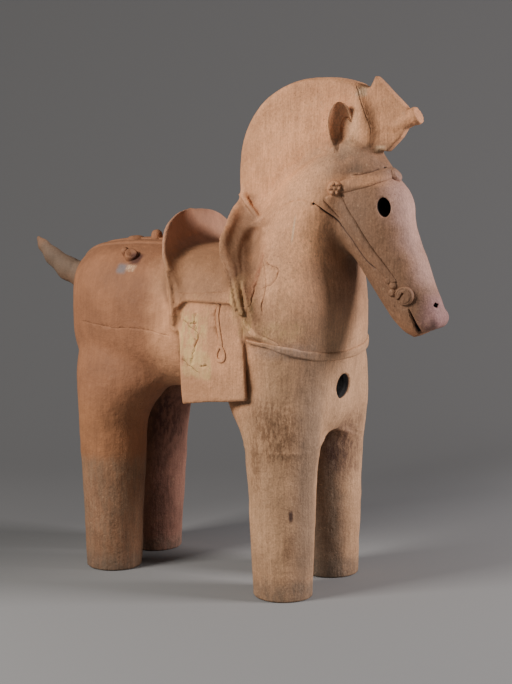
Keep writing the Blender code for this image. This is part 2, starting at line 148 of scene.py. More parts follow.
def lump_noise(points: Array, size: float, seed: int) -> Array:
    """Smooth noise in space, from -1 to 1: random values on a lattice, joined by eased steps.

    Args:
        points: Places, as rows of (x, y, z).
        size: How far apart the lattice's values stand.
        seed: Picks the values.

    Returns:
        One value a place.
    """
    values = np.random.default_rng(seed).uniform(-1, 1, (32, 32, 32))
    place = points / size + 16.37
    cell = np.floor(place).astype(int)
    ease = place - cell
    ease = ease * ease * (3 - 2 * ease)
    total = np.zeros(len(points))
    for corner in np.ndindex(2, 2, 2):
        weight = np.prod(np.where(corner, ease, 1 - ease), axis=1)
        total += weight * values[tuple(((cell + corner) % 32).T)]
    return total


# ---- forms: each gives the distance to one clay mass ----

class Form(Protocol):
    """A clay mass."""

    exact: bool

    def span(self) -> tuple[Point, Point]:
        """The lowest and highest corners of the space that the mass fills."""

    def reading(self, x: Array, y: Array, z: Array) -> Array:
        """Below zero inside the mass: a distance in metres if `exact`, else just a sign."""


@dataclass(frozen=True)
class Column:
    """A mass whose sections across a straight axis are superellipses.

    Formula: (|u / a| ** p + |v / b| ** p) ** (1 / p) - 1, where u and v are measured from the
    middle of the section at t along the axis, and a, b and p are read from the rows there.

    Attributes:
        front: The direction of u. That of v is square to both.
        rows: (t, middle in u, middle in v, half size in u, half size in v, power).
    """

    foot: Point
    axis: Point
    front: Point
    rows: tuple[Row, ...]
    exact: bool = False

    def span(self) -> tuple[Point, Point]:
        """The box around every section's corners."""
        table = smooth_rows(self.rows)
        axis, front = np.array(self.axis), np.array(self.front)
        side = np.cross(axis, front)
        corners = [np.array(self.foot) + table[:, :1] * axis
                   + (table[:, 1:2] + i * table[:, 3:4]) * front
                   + (table[:, 2:3] + j * table[:, 4:5]) * side for i in (-1, 1) for j in (-1, 1)]
        return np.min(np.vstack(corners), axis=0), np.max(np.vstack(corners), axis=0)

    def reading(self, x: Array, y: Array, z: Array) -> Array:
        """The superellipse's reading, cut off square at the first and last rows."""
        side = np.cross(self.axis, self.front)
        t, u, v = (sum(d * (c - f) for d, c, f in zip(way, (x, y, z), self.foot) if abs(d) > 1e-9)
                   for way in (self.axis, self.front, side))
        table = smooth_rows(self.rows).T
        middle_u, middle_v, a, b, power = (np.interp(t, table[0], line) for line in table[1:])
        across = np.abs((u - middle_u) / a) ** power + np.abs((v - middle_v) / b) ** power
        shell = (across ** (1 / power) - 1) * np.minimum(a, b)
        return np.maximum(shell, np.maximum(table[0, 0] - t, t - table[0, -1]))


def upright(rows: Sequence[Row]) -> Column:
    """A column that stands straight up: t is z, u is x and v is y."""
    return Column((0, 0, 0), UP, AHEAD, tuple(rows))


@dataclass(frozen=True)
class Plate:
    """A slab between two planes square to Y, with an outline in XZ and a rounded rim.

    Attributes:
        outline: Corners (x, z).
        lean: How far its middle plane bends in towards y = 0 from its foot up to its top.
    """

    outline: Array
    middle: float
    half: float
    rim: float
    lean: float = 0.0
    exact: bool = True

    def span(self) -> tuple[Point, Point]:
        """The outline's box, as thick as the slab."""
        (x0, z0), (x1, z1) = self.outline.min(axis=0), self.outline.max(axis=0)
        return (x0, self.middle - self.half, z0), (x1, self.middle + self.half, z1)

    def reading(self, x: Array, y: Array, z: Array) -> Array:
        """Distance to the outline and to the faces, rounded where both are near."""
        foot, top = self.outline[:, 1].min(), self.outline[:, 1].max()
        climb = np.clip((z - foot) / (top - foot), 0, 1)
        middle = self.middle - math.copysign(self.lean, self.middle) * climb ** 2
        edge = outline_distance(self.outline, x, z) + self.rim
        face = np.abs(y - middle) - self.half + self.rim
        return (np.hypot(np.maximum(edge, 0), np.maximum(face, 0))
                + np.minimum(np.maximum(edge, face), 0) - self.rim)


@dataclass(frozen=True)
class Horn:
    """A round body along a path, with a radius at each of its points.

    Formula: for each stretch, the distance to the nearest point on it less the radius there.

    Attributes:
        rows: (x, y, z, radius) from one end to the other.
        flat: Squeezes the section sideways: 1 is round, 0.8 is narrower in y.
    """

    rows: tuple[Row, ...]
    flat: float = 1.0
    blend: float = 0.004
    exact: bool = True

    def span(self) -> tuple[Point, Point]:
        """The box around a ball at every point."""
        places, radii = np.split(np.array(self.rows), [3], axis=1)
        return (places - radii).min(axis=0), (places + radii).max(axis=0)

    def reading(self, x: Array, y: Array, z: Array) -> Array:
        """The smallest of the stretches' distances."""
        nearest = None
        for start, end in zip(self.rows, self.rows[1:]):
            way = np.subtract(end[:3], start[:3])
            dx, dy, dz = x - start[0], (y - start[1]) / self.flat, z - start[2]
            t = np.clip((dx * way[0] + dy * way[1] + dz * way[2]) / (way @ way), 0, 1)
            gap = np.sqrt((dx - t * way[0]) ** 2 + (dy - t * way[1]) ** 2 + (dz - t * way[2]) ** 2)
            gap = gap - (start[3] + t * (end[3] - start[3]))
            nearest = gap if nearest is None else smooth_union(nearest, gap, self.blend)
        return nearest


@dataclass(frozen=True)
class Board:
    """A saddle board: an arched sheet that stands across the back and leans along X.

    Formula: |x - middle(y, z)| less half the slab, and the distance to the arch in YZ, with a
    rounded rim. The middle follows the rim's own x at each height, and cups between its sides.

    Attributes:
        rows: (height, half width at the rim, x of the rim), from the flank up to the crown.
        cup: How far the sheet's middle is pushed back from its rim.
    """

    rows: tuple[Row, ...]
    cup: float
    half: float = SLAB / 2
    exact: bool = True

    def arch(self) -> Array:
        """The rim as a closed outline of (y, z)."""
        table = smooth_rows(self.rows, 4)
        right = np.column_stack([-table[:, 1], table[:, 0]])
        return np.vstack([right, right[-2::-1] * (-1, 1)])

    def span(self) -> tuple[Point, Point]:
        """The arch's box, from its hindmost to its foremost point."""
        table = np.array(self.rows)
        wide = table[:, 1].max()
        return ((table[:, 2].min() - abs(self.cup) - self.half, -wide, table[0, 0]),
                (table[:, 2].max() + abs(self.cup) + self.half, wide, table[-1, 0]))

    def reading(self, x: Array, y: Array, z: Array) -> Array:
        """Distance to the sheet's faces and rim."""
        table = smooth_rows(self.rows, 4).T
        rim_x = np.interp(z, table[0], table[2])
        wide = np.maximum(np.interp(z, table[0], table[1]), 0.02)
        middle = rim_x - self.cup * np.clip(1 - (y / wide) ** 2, 0, 1)
        slope = np.interp(z, table[0], np.gradient(table[2], table[0]))
        face = np.abs(x - middle) / np.sqrt(1 + slope ** 2)
        edge = outline_distance(self.arch(), y, z) + self.half
        return np.hypot(np.maximum(edge, 0), face) - self.half


@dataclass(frozen=True)
class Slab:
    """A rounded block between planes: the greatest of the planes' distances, with eased edges.

    Attributes:
        planes: (point, outward direction) of each plane.
        ease: How far the edges are rounded.
    """

    planes: tuple[tuple[Point, Point], ...]
    low: Point
    high: Point
    ease: float
    exact: bool = True

    def span(self) -> tuple[Point, Point]:
        """The stated box."""
        return self.low, self.high

    def reading(self, x: Array, y: Array, z: Array) -> Array:
        """The planes' distances, one eased into the next."""
        total = None
        for point, outward in self.planes:
            way = unit(outward)
            gap = way[0] * (x - point[0]) + way[1] * (y - point[1]) + way[2] * (z - point[2])
            total = gap if total is None else smooth_cut(total, -gap, self.ease)
        return total


# ---- the lattice and the clay on it ----

class Clay:
    """A body of clay: distances to its surface on an even lattice, below zero inside it."""

    def __init__(self, low: Sequence[float], high: Sequence[float], pitch: float) -> None:
        """Starts with no clay at all.

        Args:
            low: Lowest corner of the lattice.
            high: Highest corner.
            pitch: Distance from one lattice point to the next.
        """
        self.low = np.array(low, float)
        self.pitch = pitch
        counts = np.ceil((np.array(high) - self.low) / pitch).astype(int) + 1
        self.field = np.full(counts, FAR, np.float32)

    def _part(self, form: Form, margin: float) -> tuple[tuple[slice, ...], list[Array]]:
        """The stretch of lattice round a form, and its coordinates ready to broadcast."""
        low, high = form.span()
        first = np.floor((np.array(low) - margin - self.low) / self.pitch).astype(int)
        last = np.ceil((np.array(high) + margin - self.low) / self.pitch).astype(int) + 1
        first, last = np.maximum(first, 0), np.minimum(last, self.field.shape)
        places = [(self.low[i] + self.pitch * np.arange(first[i], last[i])).astype(np.float32)
                  for i in range(3)]
        return (tuple(slice(a, b) for a, b in zip(first, last)), list(np.ix_(*places)))

    def _distance(self, form: Form, places: list[Array]) -> Array:
        """A form's reading as a distance: divided by how fast it grows, unless it is exact."""
        reading = np.asarray(form.reading(*places), np.float32)
        reading = np.broadcast_to(reading, [len(np.ravel(one)) for one in places])
        if form.exact:
            return reading
        slopes = np.gradient(reading, self.pitch)
        steep = np.sqrt(slopes[0] ** 2 + slopes[1] ** 2 + slopes[2] ** 2)
        return np.clip(reading / np.maximum(steep, 0.25), -0.2, 0.2)

    def add(self, form: Form, blend: float = 0.0) -> None:
        """Presses a form onto the clay, with the join filled in where the two meet at an angle.

        Formula: the easing is `blend` times one less the cosine between the two outward directions,
        so a form that runs on in the clay's own surface doesn't swell it.

        Args:
            form: The mass to press on.
            blend: How wide the filling is where the two meet square.
        """
        part, places = self._part(form, blend + 3 * self.pitch)
        old, new = self.field[part], self._distance(form, places)
        if blend > 0:
            slopes = [np.gradient(one, self.pitch) for one in (old, new)]
            lengths = [np.sqrt(one[0] ** 2 + one[1] ** 2 + one[2] ** 2) + 1e-6 for one in slopes]
            cosine = sum(a * b for a, b in zip(*slopes)) / (lengths[0] * lengths[1])
            blend = blend * np.clip(1 - cosine, 0, 1)
        self.field[part] = smooth_union(old, new, blend)

    def cut(self, form: Form, blend: float = 0.0) -> None:
        """Takes a form's inside away, with the edge eased over `blend`."""
        part, places = self._part(form, blend + 3 * self.pitch)
        self.field[part] = smooth_cut(self.field[part], self._distance(form, places), blend)

    def keep(self, form: Form, blend: float = 0.0) -> None:
        """Takes away all the clay that is outside a form, with the edge eased over `blend`."""
        shape = self.field.shape
        places = np.ix_(*[self.low[i] + self.pitch * np.arange(shape[i]) for i in range(3)])
        self.field = smooth_cut(self.field, -self._distance(form, list(places)), blend)

    def surface(self) -> tuple[Array, Array]:
        """The clay's skin.

        Returns:
            Its vertices as rows of (x, y, z), and its four-sided faces, wound outwards.
        """
        grid = openvdb.FloatGrid(background=FAR)
        grid.copyFromArray(self.field)
        places, faces = grid.convertToQuads(0.0)
        return places * self.pitch + self.low, faces[:, ::-1].astype(np.int32)

    def read(self, points: Array) -> Array:
        """The distance at any points, eased between the eight lattice points round each."""
        place = np.clip((points - self.low) / self.pitch, 0, np.array(self.field.shape) - 1.001)
        cell = place.astype(int)
        part = place - cell
        total = np.zeros(len(points))
        for corner in np.ndindex(2, 2, 2):
            weight = np.prod(np.where(corner, part, 1 - part), axis=1)
            total += weight * self.field[tuple((cell + corner).T)]
        return total

    def outward(self, points: Array) -> Array:
        """The outward direction of the clay's skin near any points."""
        steps = np.eye(3) * self.pitch * 1.5
        slope = np.column_stack([self.read(points + step) - self.read(points - step)
                                 for step in steps])
        return slope / np.maximum(np.linalg.norm(slope, axis=1, keepdims=True), 1e-9)

    def settle(self, points: Array, rounds: int = 6) -> Array:
        """Moves points along the outward direction until they lie on the clay's skin."""
        for _ in range(rounds):
            points = points - self.outward(points) * self.read(points)[:, None]
        return points


# ---- meshes ----

def mesh_object(name: str, places: Array, faces: Array | list) -> bpy.types.Object:
    """Makes an object of a mesh whose vertices are already in place, shaded smooth."""
    mesh = bpy.data.meshes.new(name)
    mesh.from_pydata(np.asarray(places, float), [], np.asarray(faces).tolist()
                     if isinstance(faces, np.ndarray) else faces)
    mesh.update()
    mesh.shade_smooth()
    made = bpy.data.objects.new(name, mesh)
    bpy.context.scene.collection.objects.link(made)
    return made


def turned_in(places: Array, triangles: Array) -> bool:
    """Whether a closed skin's triangles face inwards: whether its signed volume is below zero."""
    first, second, third = np.moveaxis(places[triangles], 1, 0)
    return np.einsum("ij,ij->i", first, np.cross(second, third)).sum() < 0


def skin(name: str, rings: Array) -> bpy.types.Object:
    """A closed body skinned over rings of equal count, with a fan about a middle point at each end.

    Args:
        name: Name of the object.
        rings: Points, as an array of (ring, point round it, x y z).

    Returns:
        The object, its faces turned outwards.
    """
    count, round_count = rings.shape[:2]
    ids = np.arange(count * round_count).reshape(count, round_count)
    following = np.roll(ids, -1, axis=1)
    sides = np.stack([ids[:-1], following[:-1], following[1:], ids[1:]], axis=-1).reshape(-1, 4)
    first, last = count * round_count, count * round_count + 1
    start_fan = np.column_stack([np.full(round_count, first), following[0], ids[0]])
    end_fan = np.column_stack([np.full(round_count, last), ids[-1], following[-1]])
    places = np.vstack([rings.reshape(-1, 3), rings[0].mean(axis=0), rings[-1].mean(axis=0)])
    faces = [*sides.tolist(), *start_fan.tolist(), *end_fan.tolist()]
    if turned_in(places, np.vstack([sides[:, :3], sides[:, (0, 2, 3)], start_fan, end_fan])):
        faces = [face[::-1] for face in faces]
    return mesh_object(name, places, faces)


def carve(target: bpy.types.Object, tools: Sequence[bpy.types.Object], operation: str) -> None:
    """Applies one Boolean after another to `target`, and removes the tools."""
    for tool in tools:
        step = target.modifiers.new(tool.name, "BOOLEAN")
        step.operation = operation
        step.solver = "MANIFOLD"
        step.object = tool
    bake(target)
    for tool in tools:
        bpy.data.objects.remove(tool, do_unlink=True)


def bake(target: bpy.types.Object) -> None:
    """Turns an object's modifiers into its mesh."""
    depsgraph = bpy.context.evaluated_depsgraph_get()
    depsgraph.update()
    result = bpy.data.meshes.new_from_object(target.evaluated_get(depsgraph))
    target.modifiers.clear()
    target.data = result


def thin_out(target: bpy.types.Object, triangles: int) -> None:
    """Takes away the triangles that the shape needs least, down to about a stated count."""
    count = sum(len(face.vertices) - 2 for face in target.data.polygons)
    if count > triangles:
        step = target.modifiers.new("thin_out", "DECIMATE")
        step.ratio = triangles / count
        bake(target)


# ---- what is luted on or cut in by hand ----

def hand_relief(points: Array) -> Array:
    """How far the potter's hand left the skin high or low: smooth noise at three sizes.

    Args:
        points: Places on the skin.

    Returns:
        Metres outwards, one for each place.
    """
    return (0.0016 * lump_noise(points * (1, 1, 1.6), 0.085, 3)
            + 0.0006 * lump_noise(points * (1, 1, 1.3), 0.030, 5)
            + 0.00022 * lump_noise(points, 0.011, 7))


def even_path(rows: Sequence[Row], spacing: float) -> Array:
    """A smooth curve through points, with its own points at an even spacing."""
    dense = smooth_rows(rows, 24)
    run = np.concatenate([[0], np.cumsum(np.linalg.norm(np.diff(dense[:, :3], axis=0), axis=1))])
    steps = np.linspace(0, run[-1], max(int(round(run[-1] / spacing)), 2) + 1)
    return np.column_stack([np.interp(steps, run, line) for line in dense.T])


def path_frame(path: Array, outward: Array) -> tuple[Array, Array]:
    """For each point of a path, the direction along it and the one across it."""
    along = np.gradient(path, axis=0)
    along /= np.linalg.norm(along, axis=1, keepdims=True)
    across = np.cross(along, outward)
    return along, across / np.linalg.norm(across, axis=1, keepdims=True)


@dataclass(frozen=True)
class Strap:
    """A flat clay strip pressed on along a path over the body.

    Formula: across the strip at v from -1 to 1 the clay's skin is raised by the relief times
    1 - |v| ** edge, less a little, so both edges bed into the skin; it fades out at the ends.

    Attributes:
        path: Points (x, y, z) near the skin, which the strip's middle follows. A fourth number,
            where there is one, is the width there as a share of the whole.
        edge: How square its edges are.
        wander: How much its width and relief vary, as a share.
    """

    name: str
    path: tuple[Row, ...]
    half: float
    relief: float
    edge: float = 6.0
    closed: bool = False
    wander: float = 0.10

    def build(self, clay: Clay) -> bpy.types.Object:
        """Makes the strip on the clay."""
        rows = self.path + self.path[:1] if self.closed else self.path
        table = even_path(rows, STRAP_STEP)
        share = table[:, 3] if table.shape[1] > 3 else np.ones(len(table))
        line = clay.settle(table[:, :3])
        outward = clay.outward(line)
        _, across = path_frame(line, outward)
        v = np.sin(np.linspace(-90, 90, 17) * math.pi / 180)
        vary = 1 + self.wander * lump_noise(line, 0.03, 11)
        reach = (self.half * vary * share)[:, None, None] * v[None, :, None] * across[:, None, :]
        top = clay.settle((line[:, None, :] + reach).reshape(-1, 3), 3)
        out = clay.outward(top)
        height = self.relief * vary[:, None] * (1 - np.abs(v) ** self.edge)[None, :] - 0.0008
        if not self.closed:
            s = np.linspace(0, 1, len(line)) * len(line) * STRAP_STEP
            fade = np.clip(np.minimum(s, s[-1] - s) / (self.half * 0.6), 0, 1)
            height = (height + STRAP_SUNK) * np.sqrt(fade)[:, None] - STRAP_SUNK
        top = top + out * (height.ravel() + hand_relief(top))[:, None]
        grid = top.reshape(len(line), len(v), 3)
        under = grid[:, ::-4] - outward[:, None, :] * (self.relief * 0.3 + 0.0045)
        rings = np.concatenate([grid, under], axis=1)
        return ring_band(self.name, rings) if self.closed else skin(self.name, rings)


def ring_band(name: str, rings: Array) -> bpy.types.Object:
    """A closed band: rings of points joined to each other all the way round.

    Args:
        name: Name of the object.
        rings: Points, as (ring, point round it, x y z); the last ring repeats the first.

    Returns:
        The object.
    """
    rings = rings[:-1]
    ids = np.arange(rings.shape[0] * rings.shape[1]).reshape(rings.shape[:2])
    on, round_on = np.roll(ids, -1, axis=0), np.roll(ids, -1, axis=1)
    both = np.roll(on, -1, axis=1)
    faces = np.stack([ids, round_on, both, on], axis=-1).reshape(-1, 4)
    places = rings.reshape(-1, 3)
    inwards = turned_in(places, np.vstack([faces[:, :3], faces[:, (0, 2, 3)]]))
    return mesh_object(name, places, faces[:, ::-1] if inwards else faces)


@dataclass(frozen=True)
class Stud:
    """A round button of clay pressed on, as heights over a disc: rings out from its middle.

    Attributes:
        outward: The way it faces, or None for the skin's own.
        profile: (share of the radius, height) from the middle to the rim.
        petals: How many knobs go round it, 0 for none.
    """

    name: str
    middle: Point
    radius: float
    profile: tuple[Row, ...]
    outward: Point | None = None
    petals: int = 0
    petal_height: float = 0.0
    knock: float = 0.05

    def build(self, clay: Clay) -> bpy.types.Object:
        """Makes the button on the clay: heights run along the way it faces."""
        middle = clay.settle(np.array([self.middle], float))
        outward = clay.outward(middle)[0] if self.outward is None else np.array(self.outward)
        outward = unit(outward)
        side = unit(np.cross(outward, UP if abs(outward[2]) < 0.9 else AHEAD))
        up = np.cross(side, outward)
        share = np.linspace(0.03, 1, 18) ** 0.8
        turn = np.linspace(0, 2 * math.pi, 48, endpoint=False)
        table = smooth_rows(self.profile).T
        height = np.interp(share, table[0], table[1])[:, None] * np.ones(len(turn))
        if self.petals:
            lobe = 0.5 + 0.5 * np.cos(self.petals * turn)
            height = height + (self.petal_height * lobe[None, :]
                               * np.exp(-((share[:, None] - 0.66) / 0.2) ** 2))
        direction = np.cos(turn)[:, None] * side + np.sin(turn)[:, None] * up
        knock = 1 + self.knock * lump_noise(direction * 0.02 + middle, 0.02, 13)
        flat = middle + share[:, None, None] * self.radius * (knock[:, None] * direction)[None]
        rise = height[..., None] * outward
        rise = rise + (0.0005 * lump_noise((flat + rise).reshape(-1, 3), 0.006, 17)
                       ).reshape(height.shape)[..., None] * outward
        rim = flat[-1] - 0.012 * outward
        rings = np.concatenate([(flat + rise), rim[None]])
        return skin(self.name, rings)


@dataclass(frozen=True)
class Bore:
    """A cutter for a hole: ovals along a straight line, which flare where they leave the clay.

    Attributes:
        stops: (distance along the line, size) of each oval, as a share of the half sizes.
        across: Half size along `first`.
        first: Direction of the first half size.
    """

    name: str
    middle: Point
    way: Point
    stops: tuple[Row, ...]
    across: float
    tall: float
    first: Point = (1, 0, 0)
    sides: int = 40
    knock: float = 0.04

    def build(self) -> bpy.types.Object:
        """Makes the cutter."""
        way = unit(self.way)
        first = unit(self.first - way * np.dot(way, self.first))
        second = np.cross(way, first)
        turn = np.linspace(0, 2 * math.pi, self.sides, endpoint=False)
        oval = (np.cos(turn)[:, None] * first * self.across
                + np.sin(turn)[:, None] * second * self.tall)
        oval = oval * (1 + self.knock * lump_noise(oval + self.middle, 0.018, 19))[:, None]
        rings = np.array([np.array(self.middle) + way * at + oval * size
                          for at, size in self.stops])
        return skin(self.name, rings)

    def both(self) -> list[bpy.types.Object]:
        """Makes the cutters for a hole that is there on both sides, the right one first."""
        return [replace(self, middle=middle, way=way).build() for middle, way in
                (mirrored((self.middle, self.way), side) for side in (-1, 1))]


@dataclass(frozen=True)
class Groove:
    """A line drawn in the wet clay, or a crack: a thin diamond section along a path on the skin.

    Attributes:
        jitter: How far it wanders sideways.
    """

    path: tuple[Point, ...]
    half: float
    depth: float
    jitter: float = 0.0
    seed: int = 23

    def build(self, clay: Clay) -> bpy.types.Object:
        """Makes the cutter on the clay."""
        line = clay.settle(even_path(self.path, GROOVE_STEP))
        outward = clay.outward(line)
        _, across = path_frame(line, outward)
        if self.jitter:
            line = line + across * (self.jitter * lump_noise(line, 0.007, self.seed))[:, None]
        line = line + outward * hand_relief(line)[:, None]
        s = np.linspace(0, math.pi, len(line))
        half = self.half * np.clip(np.sin(s) * 4, 0.25, 1)
        depth = self.depth * np.clip(np.sin(s) * 4, 0.25, 1)
        ring = [outward * 0.004 + across * half[:, None] * 1.6,
                across * half[:, None], -outward * depth[:, None],
                -across * half[:, None], outward * 0.004 - across * half[:, None] * 1.6]
        return skin("groove", line[:, None, :] + np.stack(ring, axis=1))


@dataclass(frozen=True)
class Ear:
    """An ear: a leaf-shaped spoon, hollowed towards the front and outside.

    Formula: at t up the ear the half width is a sine up to its widest and a circle's closing
    after; the back of each section is half an ellipse, and the front a shallower one, so the rim
    is sharp and the inside hollow.
    """

    foot: Point = (0.332, 0.041, 1.026)
    tip: Point = (0.323, 0.060, 1.148)
    half: float = 0.031
    back: float = 0.80
    cup: float = 0.55
    turn: float = 49.0

    def build(self, side: int) -> bpy.types.Object:
        """Makes the ear on one side: -1 is the right one."""
        foot, tip = (np.array(place) * (1, side, 1) for place in (self.foot, self.tip))
        along = unit(tip - foot)
        turn = math.radians(self.turn)
        out = np.array((math.cos(turn), side * math.sin(turn), 0.0))
        out = unit(out - along * (out @ along))
        across = np.cross(along, out)
        t = np.linspace(0, 1, 30)
        width = 0.60 + 0.40 * np.sin(math.pi / 2 * np.clip(t / 0.55, 0, 1))
        width = self.half * width * np.sqrt(np.clip(1 - (np.maximum(t - 0.55, 0) / 0.455) ** 2,
                                                    0.004, 1))
        cup = self.cup * width * np.clip((t - 0.20) * 6, 0, 1) ** 0.7
        angle = np.linspace(0, math.pi, 17)
        axis = foot + t[:, None] * (tip - foot) + (0.010 * np.sin(math.pi * t))[:, None] * -out
        back = (axis[:, None] + width[:, None, None] * np.cos(angle)[:, None] * across
                - (self.back * width)[:, None, None] * np.sin(angle)[:, None] * out)
        inner = (width - 0.0045 * np.clip(width / self.half * 1.6, 0.1, 1))[:, None, None]
        front = (axis[:, None] + inner * np.cos(angle)[:, None] * across
                 - cup[:, None, None] * np.sin(angle)[:, None] * out)
        rim = 0.002 * out
        front = front + rim
        return skin(f"ear_{'left' if side > 0 else 'right'}",
                    np.concatenate([back, front[:, ::-1]], axis=1))


# ---- the horse's masses ----

def closing(t: Array, power: float) -> Array:
    """How a superellipse of this power closes in at t, from 1 in the middle to 0 at t = 1."""
    return (1 - np.abs(t) ** power) ** (1 / power)


@dataclass(frozen=True)
class Leg:
    """A leg: a tapering tube from the floor up into the body.

    Attributes:
        hip: Where it is heading at `height`.
        reaches: (height, reach forward, reach back, reach sideways) from its centre line.
    """

    foot: tuple[float, float]
    hip: tuple[float, float]
    reaches: tuple[Row, ...]
    height: float = 0.58

    def column(self, inset: float = 0.0) -> Column:
        """The leg as a form, or its hollow where `inset` is the wall."""
        rows = []
        for height, front, back, side in self.reaches:
            x, y = np.array(self.foot) + np.subtract(self.hip, self.foot) * height / self.height
            rows.append((height, x + (front - back) / 2, y, (front + back) / 2 - inset,
                         side - inset, 2.0))
        return upright([(-0.05, *rows[0][1:]), *rows])


FORE_REACHES: tuple[Row, ...] = (
    (0.000, 0.068, 0.072, 0.068), (0.170, 0.075, 0.079, 0.074), (0.300, 0.081, 0.085, 0.081),
    (0.380, 0.090, 0.098, 0.089), (0.440, 0.098, 0.130, 0.091), (0.500, 0.100, 0.160, 0.086),
    (0.560, 0.095, 0.170, 0.080), (0.640, 0.060, 0.100, 0.050))
HIND_REACHES: tuple[Row, ...] = (
    (0.000, 0.063, 0.074, 0.068), (0.200, 0.074, 0.080, 0.075), (0.340, 0.083, 0.085, 0.083),
    (0.395, 0.096, 0.088, 0.087), (0.440, 0.130, 0.092, 0.090), (0.490, 0.170, 0.095, 0.088),
    (0.560, 0.160, 0.085, 0.070), (0.640, 0.090, 0.050, 0.040))


@dataclass(frozen=True)
class Trunk:
    """Legs, barrel, chest and neck: the hollow coil-built vessel that carries the rest.

    Attributes:
        plan_power: How square its ends are seen from above.
        side_power: How square they are seen from the side.
        section_power: How square its cross section is.
        rise: How much higher the rump is than the saddle's bed.
        neck_rows: (height, middle in x, half length in x, half width in y, power).
    """

    legs: tuple[Leg, ...] = (
        Leg((0.215, -0.114), (0.203, -0.100), FORE_REACHES),
        Leg((0.220, 0.117), (0.212, 0.106), FORE_REACHES),
        Leg((-0.271, -0.101), (-0.275, -0.099), HIND_REACHES),
        Leg((-0.280, 0.098), (-0.275, 0.099), HIND_REACHES))
    barrel_middle: Point = (-0.085, 0.0, 0.632)
    barrel_half: Point = (0.330, 0.190, 0.170)
    plan_power: float = 2.7
    side_power: float = 4.5
    section_power: float = 2.6
    rise: float = 0.008
    rise_start: float = -0.060
    rise_run: float = 0.08
    neck_rows: tuple[Row, ...] = (
        (0.385, 0.203, 0.085, 0.150, 2.6), (0.430, 0.202, 0.107, 0.180, 2.6),
        (0.500, 0.200, 0.118, 0.190, 2.5), (0.620, 0.201, 0.129, 0.199, 2.4),
        (0.700, 0.212, 0.120, 0.192, 2.3), (0.770, 0.218, 0.111, 0.166, 2.2),
        (0.840, 0.216, 0.110, 0.133, 2.1), (0.900, 0.237, 0.113, 0.110, 2.0),
        (0.960, 0.268, 0.112, 0.092, 2.0), (1.010, 0.310, 0.090, 0.074, 2.0),
        (1.040, 0.330, 0.060, 0.050, 2.0))
    leg_blend: float = 0.045
    neck_blend: float = 0.05
    hollow_blend: float = 0.03

    def barrel(self, inset: float = 0.0) -> Column:
        """Rump, back and belly, a long rounded box along X."""
        half_length, half_width, half_height = np.array(self.barrel_half) - inset
        t = np.sin(np.radians(np.linspace(-86, 86, 31)))
        wide, tall = closing(t, self.plan_power), closing(t, self.side_power)
        back = self.rise_start - self.barrel_middle[0] - half_length * t
        rear = np.clip(back / self.rise_run, 0, 1)
        lift = self.rise / 2 * rear ** 2 * (3 - 2 * rear)
        rows = [(half_length * at, up, 0, (half_height + up) * high, half_width * broad,
                 self.section_power) for at, broad, high, up in zip(t, wide, tall, lift)]
        return Column(self.barrel_middle, AHEAD, UP, tuple(rows))

    def neck(self, inset: float = 0.0) -> Column:
        """Chest and neck, one column from between the fore legs up to the poll."""
        rows = [(z, x, 0, length - inset, width - inset, power)
                for z, x, length, width, power in self.neck_rows]
        return upright(rows[1:-1] if inset else rows)

    def press(self, clay: Clay) -> None:
        """Builds the trunk up in clay."""
        clay.add(self.barrel())
        for leg in self.legs:
            clay.add(leg.column(), self.leg_blend)
        clay.add(self.neck(), self.neck_blend)

    def hollow(self, clay: Clay) -> None:
        """Builds the trunk's hollow, one wall smaller."""
        clay.add(self.barrel(WALL))
        for leg in self.legs:
            clay.add(leg.column(WALL), self.hollow_blend)
        clay.add(self.neck(WALL), self.hollow_blend)


@dataclass(frozen=True)
class Head:
    """The head: a cone from the poll to the muzzle, with a round nose.

    Attributes:
        rows: (distance along the axis, jaw's reach, face's reach, half width, power).
        nose: (x, z, radius) of the nose, a bar across the muzzle.
    """

    poll: Point = (0.345, 0.0, 1.000)
    axis: Point = (0.4472, 0.0, -0.8944)
    rows: tuple[Row, ...] = (
        (-0.060, 0.050, 0.045, 0.045, 2.0), (-0.020, 0.075, 0.062, 0.058, 2.0),
        (0.020, 0.090, 0.070, 0.066, 2.0), (0.060, 0.098, 0.075, 0.074, 2.1),
        (0.100, 0.103, 0.085, 0.079, 2.2), (0.130, 0.104, 0.082, 0.080, 2.3),
        (0.160, 0.098, 0.071, 0.078, 2.3), (0.200, 0.088, 0.062, 0.071, 2.3),
        (0.260, 0.080, 0.058, 0.062, 2.3), (0.320, 0.071, 0.054, 0.054, 2.3),
        (0.360, 0.062, 0.053, 0.049, 2.3), (0.388, 0.052, 0.048, 0.042, 2.2),
        (0.408, 0.038, 0.030, 0.032, 2.0))
    nose: Row = (0.541, 0.666, 0.024)
    nose_half: float = 0.017
    blend: float = 0.03
    nose_blend: float = 0.011
    hollow_blend: float = 0.02

    def skull(self, inset: float = 0.0) -> Column:
        """The head's cone, or its hollow."""
        rows = [(t, (front - jaw) / 2, 0, (front + jaw) / 2 - inset, width - inset, power)
                for t, jaw, front, width, power in self.rows]
        return Column(self.poll, self.axis, (-self.axis[2], 0, self.axis[0]),
                      tuple(rows[2:-1] if inset else rows))

    def press(self, clay: Clay) -> None:
        """Adds the head and the nose."""
        clay.add(self.skull(), self.blend)
        x, z, radius = self.nose
        clay.add(Horn(((x, -self.nose_half, z, radius), (x, self.nose_half, z, radius))),
                 self.nose_blend)

    def hollow(self, clay: Clay) -> None:
        """Builds the head's hollow, which opens into the neck's."""
        clay.add(self.skull(WALL), self.hollow_blend)


